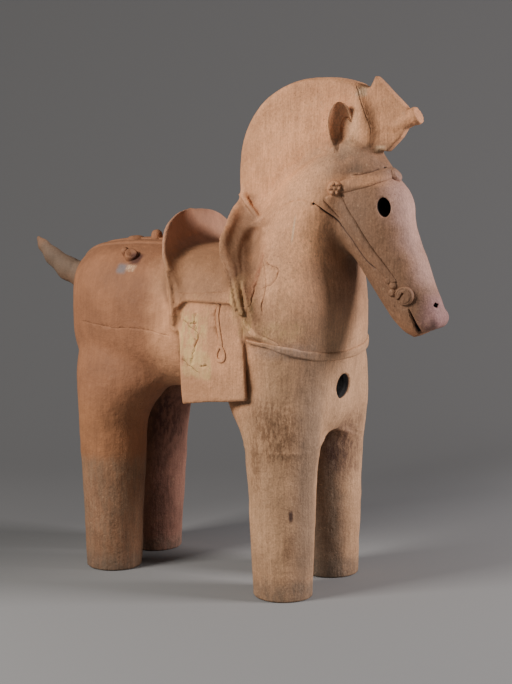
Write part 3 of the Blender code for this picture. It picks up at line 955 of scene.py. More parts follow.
@dataclass(frozen=True)
class Mane:
    """The clipped mane, a round plate on the neck, and the tied forelock that it ends in.

    Attributes:
        middle: (x, z) of the plate's middle.
        fullness: How square its rear quarter is: 2 is round.
        base: (x, z) corners that close it inside the neck.
        peg: (distance along the tied end's axis, radius).
    """

    middle: tuple[float, float] = (0.273, 0.966)
    radius: float = 0.237
    rear: float = 0.231
    fullness: float = 2.3
    half: float = 0.029
    rim: float = 0.014
    blend: float = 0.022
    from_degrees: float = 190.0
    to_degrees: float = 70.0
    base: tuple[tuple[float, float], ...] = (
        (0.392, 1.090), (0.385, 1.010), (0.290, 0.930), (0.130, 0.835))
    forelock: tuple[tuple[float, float], ...] = (
        (0.340, 1.187), (0.356, 1.187), (0.376, 1.180), (0.390, 1.208), (0.485, 1.119),
        (0.456, 1.070), (0.422, 1.036), (0.345, 1.060))
    forelock_half: float = 0.014
    forelock_rim: float = 0.005
    forelock_blend: float = 0.018
    peg_foot: Point = (0.444, 0.0, 1.095)
    peg_axis: Point = (0.888, 0.0, 0.460)
    peg: tuple[Row, ...] = ((-0.015, 0.018), (0.036, 0.018), (0.041, 0.021), (0.056, 0.021))
    peg_blend: float = 0.004

    def press(self, clay: Clay) -> None:
        """Adds the plate, the forelock and its peg."""
        turn = np.radians(np.linspace(self.from_degrees, self.to_degrees, 30))
        along, up = np.cos(turn), np.sin(turn)
        power = np.where(along < 0, 2 / self.fullness, 1.0)
        reach = np.where(along < 0, self.rear, self.radius)
        arc = np.column_stack([np.sign(along) * reach * np.abs(along) ** power,
                               np.sign(up) * self.radius * np.abs(up) ** power]) + self.middle
        clay.add(Plate(np.vstack([arc, self.base]), 0.0, self.half, self.rim), self.blend)
        clay.add(Plate(np.array(self.forelock), 0.0, self.forelock_half, self.forelock_rim),
                 self.forelock_blend)
        front = (-self.peg_axis[2], 0.0, self.peg_axis[0])
        rows = tuple((t, 0, 0, radius, radius, 2.0) for t, radius in self.peg)
        clay.add(Column(self.peg_foot, self.peg_axis, front, rows), self.peg_blend)


@dataclass(frozen=True)
class Tail:
    """The tail, a horn that swings up to a blunt tip.

    Attributes:
        rows: (x, y, z, radius) from the rump to the tip.
        squeeze: Its width as a share of its height.
    """

    rows: tuple[Row, ...] = (
        (-0.360, 0, 0.690, 0.036), (-0.430, 0, 0.705, 0.033), (-0.480, 0, 0.722, 0.029),
        (-0.525, 0, 0.750, 0.022), (-0.556, 0, 0.778, 0.013), (-0.571, 0, 0.795, 0.005))
    squeeze: float = 0.8
    bend: float = 0.01
    blend: float = 0.012

    def press(self, clay: Clay) -> None:
        """Adds the tail."""
        clay.add(Horn(self.rows, self.squeeze, self.bend), self.blend)


@dataclass(frozen=True)
class Saddle:
    """The saddle: a seat bent over the back between two arched boards, and two hanging flaps.

    Attributes:
        cantle: (height, half width, x) of the rear board's rim.
        pommel: (height, half width, x) of the front board's rim.
        cantle_cup: How far the cantle is hollowed between its sides.
        wedge: (height, middle in x, half length in x, half width) of the clay behind the pommel.
        cantle_foot: (x, y, z, radius) down the cantle's side, past the seat.
        lip: (x, y, z, radius) down the pommel's front edge.
        seat_rear: x of the seat's rear end at its lower edge and on the back.
        seat_rise: How far the seat stands off the back, and off the flanks.
        flap_rear: Top and foot of the flap's rear edge.
        flap_middle: How far out its middle plane is.
        room_offsets: How far the corners of the space cut for it lie from its own, in x and z.
        room: How far out from its middle plane that space lies, and half its width.
    """

    cantle: tuple[Row, ...] = (
        (0.628, 0.202, -0.028), (0.660, 0.207, -0.025), (0.700, 0.209, -0.026),
        (0.740, 0.203, -0.039), (0.770, 0.195, -0.054), (0.800, 0.182, -0.071),
        (0.850, 0.142, -0.089), (0.882, 0.080, -0.097), (0.891, 0.000, -0.100))
    pommel: tuple[Row, ...] = (
        (0.630, 0.203, 0.170), (0.680, 0.204, 0.153), (0.740, 0.197, 0.124),
        (0.790, 0.178, 0.093), (0.820, 0.163, 0.0765), (0.850, 0.134, 0.0665),
        (0.895, 0.068, 0.048), (0.921, 0.000, 0.039))
    board_half: float = 0.005
    cantle_cup: float = 0.010
    pommel_cup: float = 0.004
    cantle_blend: float = 0.038
    pommel_blend: float = 0.034
    wedge: tuple[Row, ...] = (
        (0.630, 0.180, 0.014, 0.199), (0.704, 0.154, 0.013, 0.193), (0.746, 0.135, 0.014, 0.184),
        (0.800, 0.101, 0.017, 0.152), (0.850, 0.084, 0.022, 0.104), (0.880, 0.094, 0.038, 0.062),
        (0.905, 0.090, 0.042, 0.041), (0.922, 0.090, 0.042, 0.028))
    wedge_power: float = 5.0
    wedge_blend: float = 0.042
    cantle_foot: tuple[Row, ...] = (
        (-0.030, 0.203, 0.637, 0.0050), (-0.028, 0.208, 0.660, 0.0060),
        (-0.029, 0.210, 0.690, 0.0060), (-0.036, 0.207, 0.722, 0.0055),
        (-0.050, 0.200, 0.756, 0.0050))
    lip: tuple[Row, ...] = (
        (0.058, 0.036, 0.925, 0.0055), (0.076, 0.044, 0.911, 0.0055),
        (0.098, 0.052, 0.893, 0.0055), (0.119, 0.066, 0.878, 0.0055),
        (0.140, 0.084, 0.864, 0.0055))
    rim_blend: float = 0.004
    seat_low: float = 0.692
    seat_rear: tuple[float, float] = (-0.046, -0.083)
    seat_front: tuple[float, float] = (0.138, 0.085)
    seat_rise: tuple[float, float] = (0.007, 0.017)
    flap_rear: tuple[Point, Point] = ((-0.021, 0, 0.705), (-0.006, 0, 0.450))
    flap_front: tuple[Point, Point] = ((0.150, 0, 0.705), (0.166, 0, 0.474))
    flap_middle: float = 0.200
    flap_lean: float = 0.012
    flap_rim: float = 0.003
    room_offsets: tuple[tuple[float, float], ...] = (
        (0.062, -0.13), (0.0045, -0.115), (0.0045, -0.0045), (0.05, -0.0045))
    room: tuple[float, float] = (0.0135, 0.020)

    def press(self, clay: Clay, trunk: Trunk) -> None:
        """Adds the seat, the boards and the flaps."""
        self._seat(clay, trunk)
        clay.add(Board(self.cantle, self.cantle_cup, self.board_half), self.cantle_blend)
        wedge = upright([(z, x, 0, reach, width, self.wedge_power)
                         for z, x, reach, width in self.wedge])
        clay.add(wedge, self.wedge_blend)
        clay.add(Board(self.pommel, self.pommel_cup, self.board_half), self.pommel_blend)
        for side in (-1, 1):
            clay.add(Horn(mirrored(self.lip, side)), self.rim_blend)
            clay.add(Horn(mirrored(self.cantle_foot, side)), self.rim_blend)
        for side in (-1, 1):
            self._flap(clay, side)

    def _seat(self, clay: Clay, trunk: Trunk) -> None:
        """A slab bent over the barrel, which ends along a straight lower edge."""
        _, half_width, half_height = trunk.barrel_half
        (rear_low, rear_high), (front_low, front_high) = self.seat_rear, self.seat_front
        top = trunk.barrel_middle[2] + half_height
        rise = top - self.seat_low
        off_back, off_flank = self.seat_rise
        rows = tuple((x, 0, 0, half_height + off_back, half_width + off_flank,
                      trunk.section_power) for x in (-0.12, 0.0, 0.17))
        section = Column((0, 0, trunk.barrel_middle[2]), AHEAD, UP, rows)
        bounds = Slab((((0, 0, self.seat_low), (0, 0, -1)),
                       ((rear_low, 0, self.seat_low), (-rise, 0, rear_high - rear_low)),
                       ((front_low, 0, self.seat_low), (rise, 0, front_low - front_high))),
                      (-0.12, -half_width - 0.03, self.seat_low),
                      (0.17, half_width + 0.03, top + 0.03), 0.003)
        seat = Clay(bounds.low - np.full(3, 0.03), np.array(bounds.high) + 0.03, clay.pitch)
        seat.add(section)
        seat.keep(bounds, 0.004)
        clay.add(Cast(seat), 0.004)

    def _flap(self, clay: Clay, side: int) -> None:
        """A slab that hangs from under the seat and stands off the belly."""
        (rear_top, rear_low), (front_top, front_low) = self.flap_rear, self.flap_front
        outline = np.array([rear_top, front_top, front_low, rear_low])[:, (0, 2)]
        out, half = self.room
        clay.cut(Plate(outline + self.room_offsets, side * (self.flap_middle + out), half, 0.002),
                 0.003)
        clay.add(Plate(outline, side * self.flap_middle, SLAB / 2, self.flap_rim, self.flap_lean),
                 0.002)


@dataclass(frozen=True)
class Cast:
    """A form read from clay that was worked out on a lattice of its own."""

    clay: Clay
    exact: bool = True

    def span(self) -> tuple[Point, Point]:
        """The corners of the lattice."""
        high = self.clay.low + self.clay.pitch * (np.array(self.clay.field.shape) - 1)
        return tuple(self.clay.low), tuple(high)

    def reading(self, x: Array, y: Array, z: Array) -> Array:
        """The nearest lattice value, eased along each axis in turn."""
        values = self.clay.field
        for axis, places in enumerate((x, y, z)):
            place = (np.ravel(places) - self.clay.low[axis]) / self.clay.pitch
            place = np.clip(place, 0, values.shape[axis] - 1.001)
            cell = place.astype(int)
            part = (place - cell).reshape([-1 if i == axis else 1 for i in range(3)])
            values = (np.take(values, cell, axis) * (1 - part)
                      + np.take(values, cell + 1, axis) * part)
        return values


@dataclass(frozen=True)
class Bridle:
    """Brow strap, cheek straps, rosettes, brow disc and bit discs, in applied clay.

    Attributes:
        brow: (x, y, z, width) of the brow strap, up to its middle.
        cheek: The same for the cheek strap.
        rosette: Place of the six-petalled stud where the two meet.
        rosette_profile: (share of the radius, height) from a rosette's middle to its rim.
    """

    brow: tuple[Row, ...] = (
        (0.325, -0.075, 0.954, 0.90), (0.340, -0.072, 0.959, 0.95), (0.358, -0.070, 0.964, 1.05),
        (0.382, -0.066, 0.970, 1.1), (0.404, -0.057, 0.977, 1.1), (0.421, -0.040, 0.984, 1.05),
        (0.429, -0.020, 0.989, 0.95), (0.432, 0.0, 0.991, 0.90))
    cheek: tuple[Row, ...] = (
        (0.316, -0.078, 0.945, 1.6), (0.325, -0.078, 0.930, 1.5), (0.340, -0.074, 0.911, 1.25),
        (0.359, -0.077, 0.890, 1.05), (0.373, -0.078, 0.873, 1.0), (0.388, -0.077, 0.849, 1.0),
        (0.407, -0.072, 0.821, 1.0), (0.429, -0.067, 0.792, 0.95), (0.451, -0.062, 0.765, 0.85),
        (0.468, -0.058, 0.744, 0.7))
    rosette: Point = (0.325, -0.079, 0.956)
    brow_disc: Point = (0.441, 0.0, 0.986)
    bit_disc: Point = (0.490, -0.055, 0.719)
    blobs: tuple[Point, ...] = ((0.453, -0.060, 0.753), (0.463, -0.058, 0.742),
                                (0.460, -0.057, 0.724))
    bit_slot: tuple[Point, Point] = ((0.4890, -0.055, 0.7275), (0.4770, -0.055, 0.7095))
    rosette_profile: tuple[Row, ...] = ((0, 0.010), (0.3, 0.008), (0.6, 0.007), (0.9, 0.005),
                                        (1, 0.0))
    brow_profile: tuple[Row, ...] = ((0, 0.011), (0.6, 0.0105), (0.9, 0.008), (1, 0.002))
    bit_profile: tuple[Row, ...] = ((0, 0.0095), (0.5, 0.0090), (0.70, 0.0082), (0.76, 0.0064),
                                    (0.82, 0.0074), (0.94, 0.0060), (1, 0.001))
    blob_profile: tuple[Row, ...] = ((0, 0.0060), (0.5, 0.0052), (1, 0.0))

    def build(self, clay: Clay) -> list[bpy.types.Object]:
        """Makes the bridle's pieces."""
        brow = self.brow + mirrored(self.brow[-2::-1], -1)
        made = [Strap("brow_strap", brow, half=0.0150, relief=0.0050, edge=5.0).build(clay),
                Stud("brow_disc", self.brow_disc, 0.0170, self.brow_profile,
                     outward=(0.80, 0, 0.60)).build(clay)]
        for side, label in SIDES:
            cheek = mirrored(self.cheek, side)
            rosette, disc_place, *blobs = mirrored((self.rosette, self.bit_disc, *self.blobs), side)
            made.append(Strap(f"cheek_strap_{label}", cheek, half=0.0125, relief=0.0052
                              ).build(clay))
            made.append(Stud(f"rosette_{label}", rosette, 0.0175, self.rosette_profile, petals=6,
                             petal_height=0.006, knock=0.12).build(clay))
            disc = Stud(f"bit_disc_{label}", disc_place, 0.0220, self.bit_profile).build(clay)
            carve(disc, [self._slot(clay, side)], "DIFFERENCE")
            made.append(disc)
            made += [Stud(f"cheek_knob_{label}_{index}", blob, 0.0100, self.blob_profile
                          ).build(clay) for index, blob in enumerate(blobs)]
        return made

    def _slot(self, clay: Clay, side: int) -> bpy.types.Object:
        """The cutter for the bit disc's slot, a line that swells at both ends."""
        ends = clay.settle(np.array(mirrored(self.bit_slot, side)))
        outward = clay.outward(ends).mean(axis=0)
        t = np.linspace(0, 1, 13)
        line = ends[0] + t[:, None] * (ends[1] - ends[0]) + outward * 0.0085
        radius = 0.0021 + 0.0016 * np.cos(math.pi * t) ** 6
        across = np.cross(outward, unit(ends[1] - ends[0]))
        turn = np.radians(np.linspace(0, 360, 13)[:-1])
        ring = (np.cos(turn)[None, :, None] * across * radius[:, None, None]
                + np.sin(turn)[None, :, None] * outward * 0.0045)
        return skin("bit_slot", line[:, None, :] + ring)


@dataclass(frozen=True)
class Marks:
    """Lines drawn in the wet clay, and cracks and joins that have opened since.

    Attributes:
        drawn: Short line of the cheek strap and line of the brow.
        opened: The crack between mane and forelock, the barrel's join, the neck's join, the seat's
            edge and the line cut beside the stirrup's strap.
        cheek_line: The deep line along the cheek strap, cut on both sides.
        dots: Holes pricked at the ends of two lines.
    """

    drawn: tuple[Groove, ...] = (
        Groove(((0.301, -0.089, 0.930), (0.314, -0.078, 0.912), (0.326, -0.073, 0.898),
                (0.338, -0.071, 0.884)), 0.0010, 0.0022),
        Groove(((0.365, -0.068, 0.9865), (0.388, -0.062, 0.990), (0.409, -0.050, 0.998),
                (0.421, -0.036, 1.005)), 0.0014, 0.0030))
    opened: tuple[Groove, ...] = (
        Groove(((0.348, -0.024, 1.197), (0.353, -0.029, 1.186), (0.359, -0.029, 1.169),
                (0.368, -0.029, 1.140), (0.380, -0.028, 1.111), (0.392, -0.026, 1.077)),
               0.0009, 0.0028, 0.0012, 29),
        Groove(((-0.330, -0.150, 0.617), (-0.270, -0.180, 0.614), (-0.200, -0.190, 0.612),
                (-0.130, -0.190, 0.616), (-0.050, -0.190, 0.606)), 0.0008, 0.0012, 0.0015, 31),
        Groove(((0.268, -0.102, 0.925), (0.248, -0.101, 0.928), (0.222, -0.100, 0.922),
                (0.203, -0.099, 0.913), (0.182, -0.098, 0.896), (0.168, -0.104, 0.872)),
               0.0009, 0.0015, 0.0020, 37),
        Groove(((-0.022, -0.200, 0.708), (0.006, -0.200, 0.711), (0.036, -0.200, 0.713),
                (0.070, -0.200, 0.716), (0.108, -0.200, 0.722)), 0.0008, 0.0010, 0.0012, 53),
        Groove(((0.0870, -0.2065, 0.692), (0.0830, -0.2065, 0.665), (0.0880, -0.2065, 0.635),
                (0.0940, -0.2065, 0.607)), 0.0014, 0.0022, 0.0008, 59))
    neck_cracks: tuple[tuple[Point, ...], ...] = (
        ((0.170, -0.138, 0.807), (0.180, -0.151, 0.788), (0.195, -0.168, 0.761),
         (0.206, -0.183, 0.729), (0.202, -0.193, 0.696), (0.206, -0.196, 0.674)),
        ((0.185, -0.151, 0.793), (0.209, -0.161, 0.780), (0.222, -0.162, 0.779),
         (0.229, -0.167, 0.766), (0.218, -0.177, 0.744), (0.190, -0.181, 0.728)),
        ((0.168, -0.135, 0.809), (0.176, -0.157, 0.770), (0.175, -0.183, 0.711),
         (0.173, -0.193, 0.675)))
    flap_marks: tuple[tuple[Point, ...], ...] = (
        ((-0.005, -0.207, 0.647), (0.014, -0.207, 0.635), (0.037, -0.207, 0.616),
         (0.027, -0.207, 0.580), (0.019, -0.207, 0.545)),
        ((-0.008, -0.207, 0.556), (0.016, -0.207, 0.542), (0.044, -0.207, 0.526)),
        ((0.044, -0.207, 0.542), (0.065, -0.207, 0.545)),
        ((0.014, -0.207, 0.640), (0.033, -0.207, 0.641)),
        ((0.030, -0.206, 0.668), (0.026, -0.207, 0.645), (0.034, -0.207, 0.626)))
    cheek_line: tuple[Point, ...] = (
        (0.285, -0.097, 0.921), (0.305, -0.088, 0.904), (0.323, -0.073, 0.888),
        (0.342, -0.070, 0.868), (0.366, -0.072, 0.840), (0.384, -0.068, 0.814),
        (0.398, -0.065, 0.796), (0.418, -0.065, 0.781), (0.430, -0.064, 0.773))
    dots: tuple[Bore, ...] = (
        Bore("line_dot", (0.281, -0.097, 0.9205), (0.1, -1, 0),
             ((-0.004, 0.6), (0.0, 1.0), (0.004, 1.3)), 0.0030, 0.0030, sides=14),
        Bore("brow_dot", (0.424, -0.018, 1.001), (0.7, -0.6, 0.4),
             ((-0.006, 0.6), (0.0, 1.0), (0.006, 1.3)), 0.0070, 0.0050, sides=14))

    def build(self, clay: Clay) -> list[bpy.types.Object]:
        """Makes the cutters."""
        lines = [*self.drawn, *self.opened]
        lines += [Groove(path, 0.0016, 0.0025, 0.0024, 41 + index)
                  for index, path in enumerate(self.neck_cracks + self.flap_marks)]
        lines += [Groove(mirrored(self.cheek_line, side), 0.0024, 0.0062, 0.0006, 47)
                  for side, _ in SIDES]
        return [*(line.build(clay) for line in lines), *(dot.build() for dot in self.dots)]


@dataclass(frozen=True)
class Harness:
    """Breast strap, crupper straps with their studs, and the stirrups on the flaps.

    Attributes:
        breast_low: Height of the breast strap at the middle of the chest.
        breast_rise: How much higher it would be 128 degrees round from there.
        crupper: (x, y, z, width) of a crupper strap.
        pits: Holes in the right one, where fittings have come off.
        collar: (x, y, z, width) of the edge that runs from the pommel's foot to the chest.
        ring_half: The ring's half width, half height and how far it narrows upwards.
    """

    breast_low: float = 0.567
    breast_rise: float = 0.075
    breast_end: float = 101.0
    crupper: tuple[Row, ...] = (
        (-0.388, -0.030, 0.750, 0.9), (-0.350, -0.045, 0.785, 1.1), (-0.310, -0.055, 0.795, 1.2),
        (-0.250, -0.058, 0.797, 1.1), (-0.190, -0.054, 0.797, 1.0), (-0.115, -0.056, 0.797, 0.9))
    pits: tuple[Point, ...] = (
        (-0.220, -0.045, 0.803), (-0.201, -0.055, 0.803), (-0.193, -0.047, 0.804),
        (-0.177, -0.052, 0.804), (-0.168, -0.044, 0.804))
    boss: Point = (-0.207, 0.0, 0.800)
    hump: Point = (-0.268, 0.0, 0.800)
    dorsal: tuple[Point, ...] = (
        (-0.125, 0.0, 0.80), (-0.20, 0.0, 0.80), (-0.28, 0.0, 0.80), (-0.35, 0.0, 0.78),
        (-0.395, 0.0, 0.75))
    stub: Point = (-0.193, -0.128, 0.775)
    knob: Point = (-0.208, -0.122, 0.780)
    collar: tuple[Row, ...] = (
        (0.160, -0.204, 0.662, 0.6), (0.172, -0.203, 0.645, 0.8), (0.187, -0.202, 0.632, 1.0),
        (0.205, -0.201, 0.622, 1.0), (0.227, -0.199, 0.612, 0.9), (0.246, -0.192, 0.604, 0.6))
    stirrup_line: tuple[Point, ...] = (
        (0.092, -0.2065, 0.690), (0.0875, -0.2065, 0.665), (0.0925, -0.2065, 0.635),
        (0.099, -0.2065, 0.605), (0.101, -0.2065, 0.592))
    stirrup_ring: Point = (0.0985, -0.2065, 0.577)
    ring_half: Point = (0.0105, 0.0165, 0.35)
    boss_profile: tuple[Row, ...] = ((0, 0.024), (0.5, 0.022), (0.85, 0.015), (1, 0.0))
    hump_profile: tuple[Row, ...] = ((0, 0.009), (0.6, 0.007), (1, 0.001))
    stub_profile: tuple[Row, ...] = ((0, 0.011), (0.5, 0.014), (0.8, 0.013), (1, 0.003))
    knob_profile: tuple[Row, ...] = ((0, 0.024), (0.5, 0.022), (0.8, 0.017), (1, 0.004))

    def build(self, clay: Clay) -> list[bpy.types.Object]:
        """Makes the harness's pieces."""
        made = [Strap("breast_strap", self._breast(), 0.0108, 0.0060).build(clay)]
        made += [Strap(f"collar_edge_{label}", mirrored(self.collar, side), half=0.0105,
                       relief=0.0046, edge=2.0).build(clay) for side, label in SIDES]
        made += [Stud("rump_boss", self.boss, 0.0150, self.boss_profile, UP).build(clay),
                 Stud("rump_hump", self.hump, 0.0240, self.hump_profile, UP).build(clay),
                 Strap("dorsal_strap", self.dorsal, half=0.0100, relief=0.0050).build(clay)]
        for side, label in SIDES:
            stub_place, knob_place, (x, y, z) = mirrored((self.stub, self.knob, self.stirrup_ring),
                                                         side)
            strap = Strap(f"crupper_strap_{label}", mirrored(self.crupper, side), half=0.0125,
                          relief=0.0060, edge=4.0).build(clay)
            if side > 0:
                carve(strap, [Bore("pit", pit, UP, ((-0.003, 0.6), (0.005, 1.2)), 0.0030, 0.0026,
                                   sides=10).build() for pit in self.pits], "DIFFERENCE")
            made.append(strap)
            stub = Stud(f"rump_stub_{label}", stub_place, 0.0190, self.stub_profile,
                        (0.30, side * -0.70, 0.65), knock=0.16)
            knob = Stud(f"rump_knob_{label}", knob_place, 0.0120, self.knob_profile,
                        (-0.15, side * -0.75, 0.62), knock=0.12)
            made += [stub.build(clay), knob.build(clay)]
            made.append(Strap(f"stirrup_strap_{label}", mirrored(self.stirrup_line, side),
                              half=0.0050, relief=0.0035).build(clay))
            turn = np.radians(np.linspace(0, 360, 13)[:-1])
            wide, tall, waist = self.ring_half
            ring = tuple((x + wide * math.sin(a) * (1 - waist * math.cos(a)), y,
                          z + tall * math.cos(a)) for a in turn)
            made.append(Strap(f"stirrup_{label}", ring, half=0.0048, relief=0.0038, closed=True
                              ).build(clay))
        return made

    def _breast(self) -> tuple[Row, ...]:
        """The breast strap's path: round the chest, dipping at its middle."""
        angle = np.radians(np.linspace(-self.breast_end, self.breast_end, 25))
        power = 2 / 2.4
        x = 0.200 + 0.131 * np.sign(np.cos(angle)) * np.abs(np.cos(angle)) ** power
        y = 0.200 * np.sign(np.sin(angle)) * np.abs(np.sin(angle)) ** power
        z = self.breast_low + self.breast_rise * (np.abs(np.degrees(angle)) / 128) ** 1.6
        share = 0.35 + 0.65 * np.clip((self.breast_end - np.abs(np.degrees(angle))) / 45, 0, 1)
        return tuple(zip(x.tolist(), y.tolist(), z.tolist(), share.tolist()))


@dataclass(frozen=True)
class Openings:
    """The holes through the wall: eyes, nostrils, mouth and a round one in the chest."""

    eye: Bore = Bore("eye", (0.4425, 0.074, 0.917), (0.10, 1, 0.03),
                     ((-0.050, 0.95), (-0.012, 0.98), (0.0, 1.0), (0.02, 1.12)), 0.0142, 0.0225,
                     (1, 0, 0.30))
    nostril: Bore = Bore("nostril", (0.5505, 0.0185, 0.6985), (0.6, 0.8, 0.15),
                         ((-0.030, 0.7), (0.0, 1.0), (0.02, 1.4)), 0.0076, 0.0062, (1, 0, 0.3),
                         sides=4, knock=0.2)
    chest: Bore = Bore("chest_hole", (0.330, -0.014, 0.493), AHEAD,
                       ((-0.06, 0.97), (-0.006, 1.0), (0.004, 1.06), (0.03, 1.12)), 0.033, 0.030,
                       (0, 1, 0), sides=56)

    def build(self) -> list[bpy.types.Object]:
        """Makes the cutters."""
        return [*self.eye.both(), self.chest.build(), *self.nostril.both(), self._mouth()]

    def _mouth(self) -> bpy.types.Object:
        """The mouth: a slit right across the muzzle, which opens downwards."""
        t = np.array([0.0, 0.25, 0.5, 0.75, 1.0, 1.4])
        middle = np.column_stack([0.499 + 0.019 * t, 0 * t, 0.690 - 0.050 * t])
        half = 0.0014 + 0.0040 * np.sqrt(t)
        lip = np.column_stack([np.full(6, 0.9), 0 * t, np.full(6, 0.42)]) * half[:, None]
        across = np.array((0, 0.08, 0))
        rings = np.stack([middle - lip - across, middle - lip + across,
                          middle + lip + across, middle + lip - across], axis=1)
        return skin("mouth", rings)


# ---- studio ----

@dataclass(frozen=True)
class Lamp:
    """A square area light that faces the horse.

    Attributes:
        bearing: Degrees round from the horse's right towards its head, degrees up, and metres.
    """

    name: str
    bearing: Point
    size: float
    power: float
    colour: Point

    def build(self) -> None:
        """Makes the light."""
        turn, rise = np.radians(self.bearing[:2])
        target = Vector((0.0, 0.0, 0.6))
        way = Vector((math.cos(rise) * math.sin(turn), -math.cos(rise) * math.cos(turn),
                      math.sin(rise)))
        lamp = bpy.data.lights.new(self.name, "AREA")
        lamp.size = self.size
        lamp.energy = self.power
        lamp.color = self.colour
        stand(lamp, target + self.bearing[2] * way, target)


def stand(data: bpy.types.ID, place: Vector, target: Vector) -> bpy.types.Object:
    """Puts a light or a camera at a place, facing its target."""
    made = bpy.data.objects.new(data.name, data)
    made.location = place
    made.rotation_euler = (target - place).to_track_quat("-Z", "Y").to_euler()
    bpy.context.scene.collection.objects.link(made)
    return made


@dataclass(frozen=True)
class Studio:
    """A pale floor that sweeps up into a wall, two soft lights and the camera.

    Attributes:
        floor_end: How far behind the horse the painted shade on the floor starts.
        wall_start: Where the painted shade is full, with the shaded wall's grey.
        slant: How much further off that is for each metre to the side, so the painted shade comes
            nearer on the left.
        near: How far the floor comes towards the camera, below zero.
        bend: How far behind the horse it starts to sweep up.
        side: How far it reaches to each side.
    """

    camera_place: Point = (2.0719, -3.4459, 1.1988)
    camera_target: Point = (0.09, -0.027, 0.58)
    lens: float = 88.4
    floor_grey: Row = (0.250, 0.257, 0.263, 1.0)
    shaded_wall_grey: Row = (0.131, 0.135, 0.139, 1.0)
    floor_end: float = 0.0
    wall_start: float = 0.78
    slant: float = 0.64
    near: float = -3.5
    bend: float = 1.1
    sweep: float = 1.6
    top: float = 5.0
    side: float = 6.0
    lamps: tuple[Lamp, ...] = (
        Lamp("key", (-30.0, 31.0, 3.3), 1.0, 126, (1.0, 0.93, 0.86)),
        Lamp("side", (109.0, 21.0, 3.8), 1.1, 155, (1.0, 0.91, 0.89)))
    sky: Row = (0.84, 0.94, 1.0, 1.0)
    sky_strength: float = 0.125

    def build(self) -> None:
        """Makes everything that isn't part of the horse."""
        self._backdrop()
        for lamp in self.lamps:
            lamp.build()
        world = bpy.data.worlds.new("studio")
        bpy.context.scene.world = world
        world.use_nodes = True
        sockets = world.node_tree.nodes["Background"].inputs
        sockets["Color"].default_value = self.sky
        sockets["Strength"].default_value = self.sky_strength
        self._camera()

    def _backdrop(self) -> None:
        """Floor and wall: one strip along the view, carried sideways, clear from behind."""
        back = np.subtract(self.camera_target, self.camera_place) * (1, 1, 0)
        back /= np.linalg.norm(back)
        side = np.array((back[1], -back[0], 0))
        turn = np.radians(np.linspace(0, 90, 24))
        flat = np.linspace(self.near, self.bend, 60)[:-1]
        run = np.concatenate([flat, self.bend + self.sweep * np.sin(turn),
                              [self.bend + self.sweep]])
        rise = np.concatenate([0 * flat, self.sweep * (1 - np.cos(turn)), [self.top]])
        across = np.linspace(-self.side, self.side, 61)
        grid = (run[:, None, None] * back + rise[:, None, None] * (0, 0, 1)
                + across[None, :, None] * side)
        ids = np.arange(grid.shape[0] * grid.shape[1]).reshape(grid.shape[:2])
        faces = np.stack([ids[:-1, :-1], ids[:-1, 1:], ids[1:, 1:], ids[1:, :-1]], axis=-1)
        floor = mesh_object("backdrop", grid.reshape(-1, 3), faces.reshape(-1, 4))
        paint(floor, "run", (run[:, None] - self.slant * across[None, :]).ravel())
        finish = bpy.data.materials.new("backdrop")
        finish.use_nodes = True
        shader = finish.node_tree.nodes["Principled BSDF"]
        weave = Weave(finish.node_tree)
        # Painted shade: the floor darkens to the shaded wall's grey further back, and sooner on the
        # left, where the lamps' light falls off and the horse's shadow lies.
        climb = weave.ease(weave.painted("run"), self.floor_end, self.wall_start)
        colour = weave.blend(climb, self.floor_grey, self.shaded_wall_grey)
        finish.node_tree.links.new(colour, shader.inputs["Base Color"])
        shader.inputs["Roughness"].default_value = 0.9
        behind = weave.node("ShaderNodeNewGeometry", {}).outputs["Backfacing"]
        clear = weave.node("ShaderNodeBsdfTransparent", {}).outputs[0]
        one_sided = weave.node("ShaderNodeMixShader", {0: behind, 1: shader.outputs[0], 2: clear})
        surface = finish.node_tree.nodes["Material Output"].inputs["Surface"]
        finish.node_tree.links.new(one_sided.outputs[0], surface)
        floor.data.materials.append(finish)

    def _camera(self) -> None:
        """The camera, level, looking a little down on the horse's right side."""
        data = bpy.data.cameras.new("camera")
        data.lens = self.lens
        data.sensor_width = 36
        bpy.context.scene.camera = stand(data, Vector(self.camera_place),
                                         Vector(self.camera_target))


# ---- the look of the clay ----

class Hue(Enum):
    """Colours of the clay and of what lies on it, as red, green and blue from 0 to 255."""

    RUMP = (152, 104, 74)
    FLAP = (220, 160, 118)
    NECK = (228, 166, 122)
    HEAD = (132, 99, 76)
    FORE = (197, 155, 119)
    PALE = (140, 112, 88)
    PLUM = (154, 112, 97)
    ORANGE = (168, 116, 78)
    RUST = (176, 104, 74)
    SEAT = (166, 121, 88)
    MAROON = (66, 38, 36)
    EARTH = (118, 84, 58)
    CREAM = (222, 184, 126)
    GREY = (104, 92, 80)
    PINK = (178, 132, 104)
    BONE = (220, 184, 148)
    SLATE = (120, 122, 128)
    ROSE = (188, 149, 136)
    MAUVE = (150, 114, 110)
    # painted shade deep in holes and cuts
    BLACK = (16, 14, 14)

    @property
    def linear(self) -> tuple[float, float, float, float]:
        """The colour as light, not as a code."""
        return (*(((code / 255 + 0.055) / 1.055) ** 2.4 for code in self.value), 1.0)


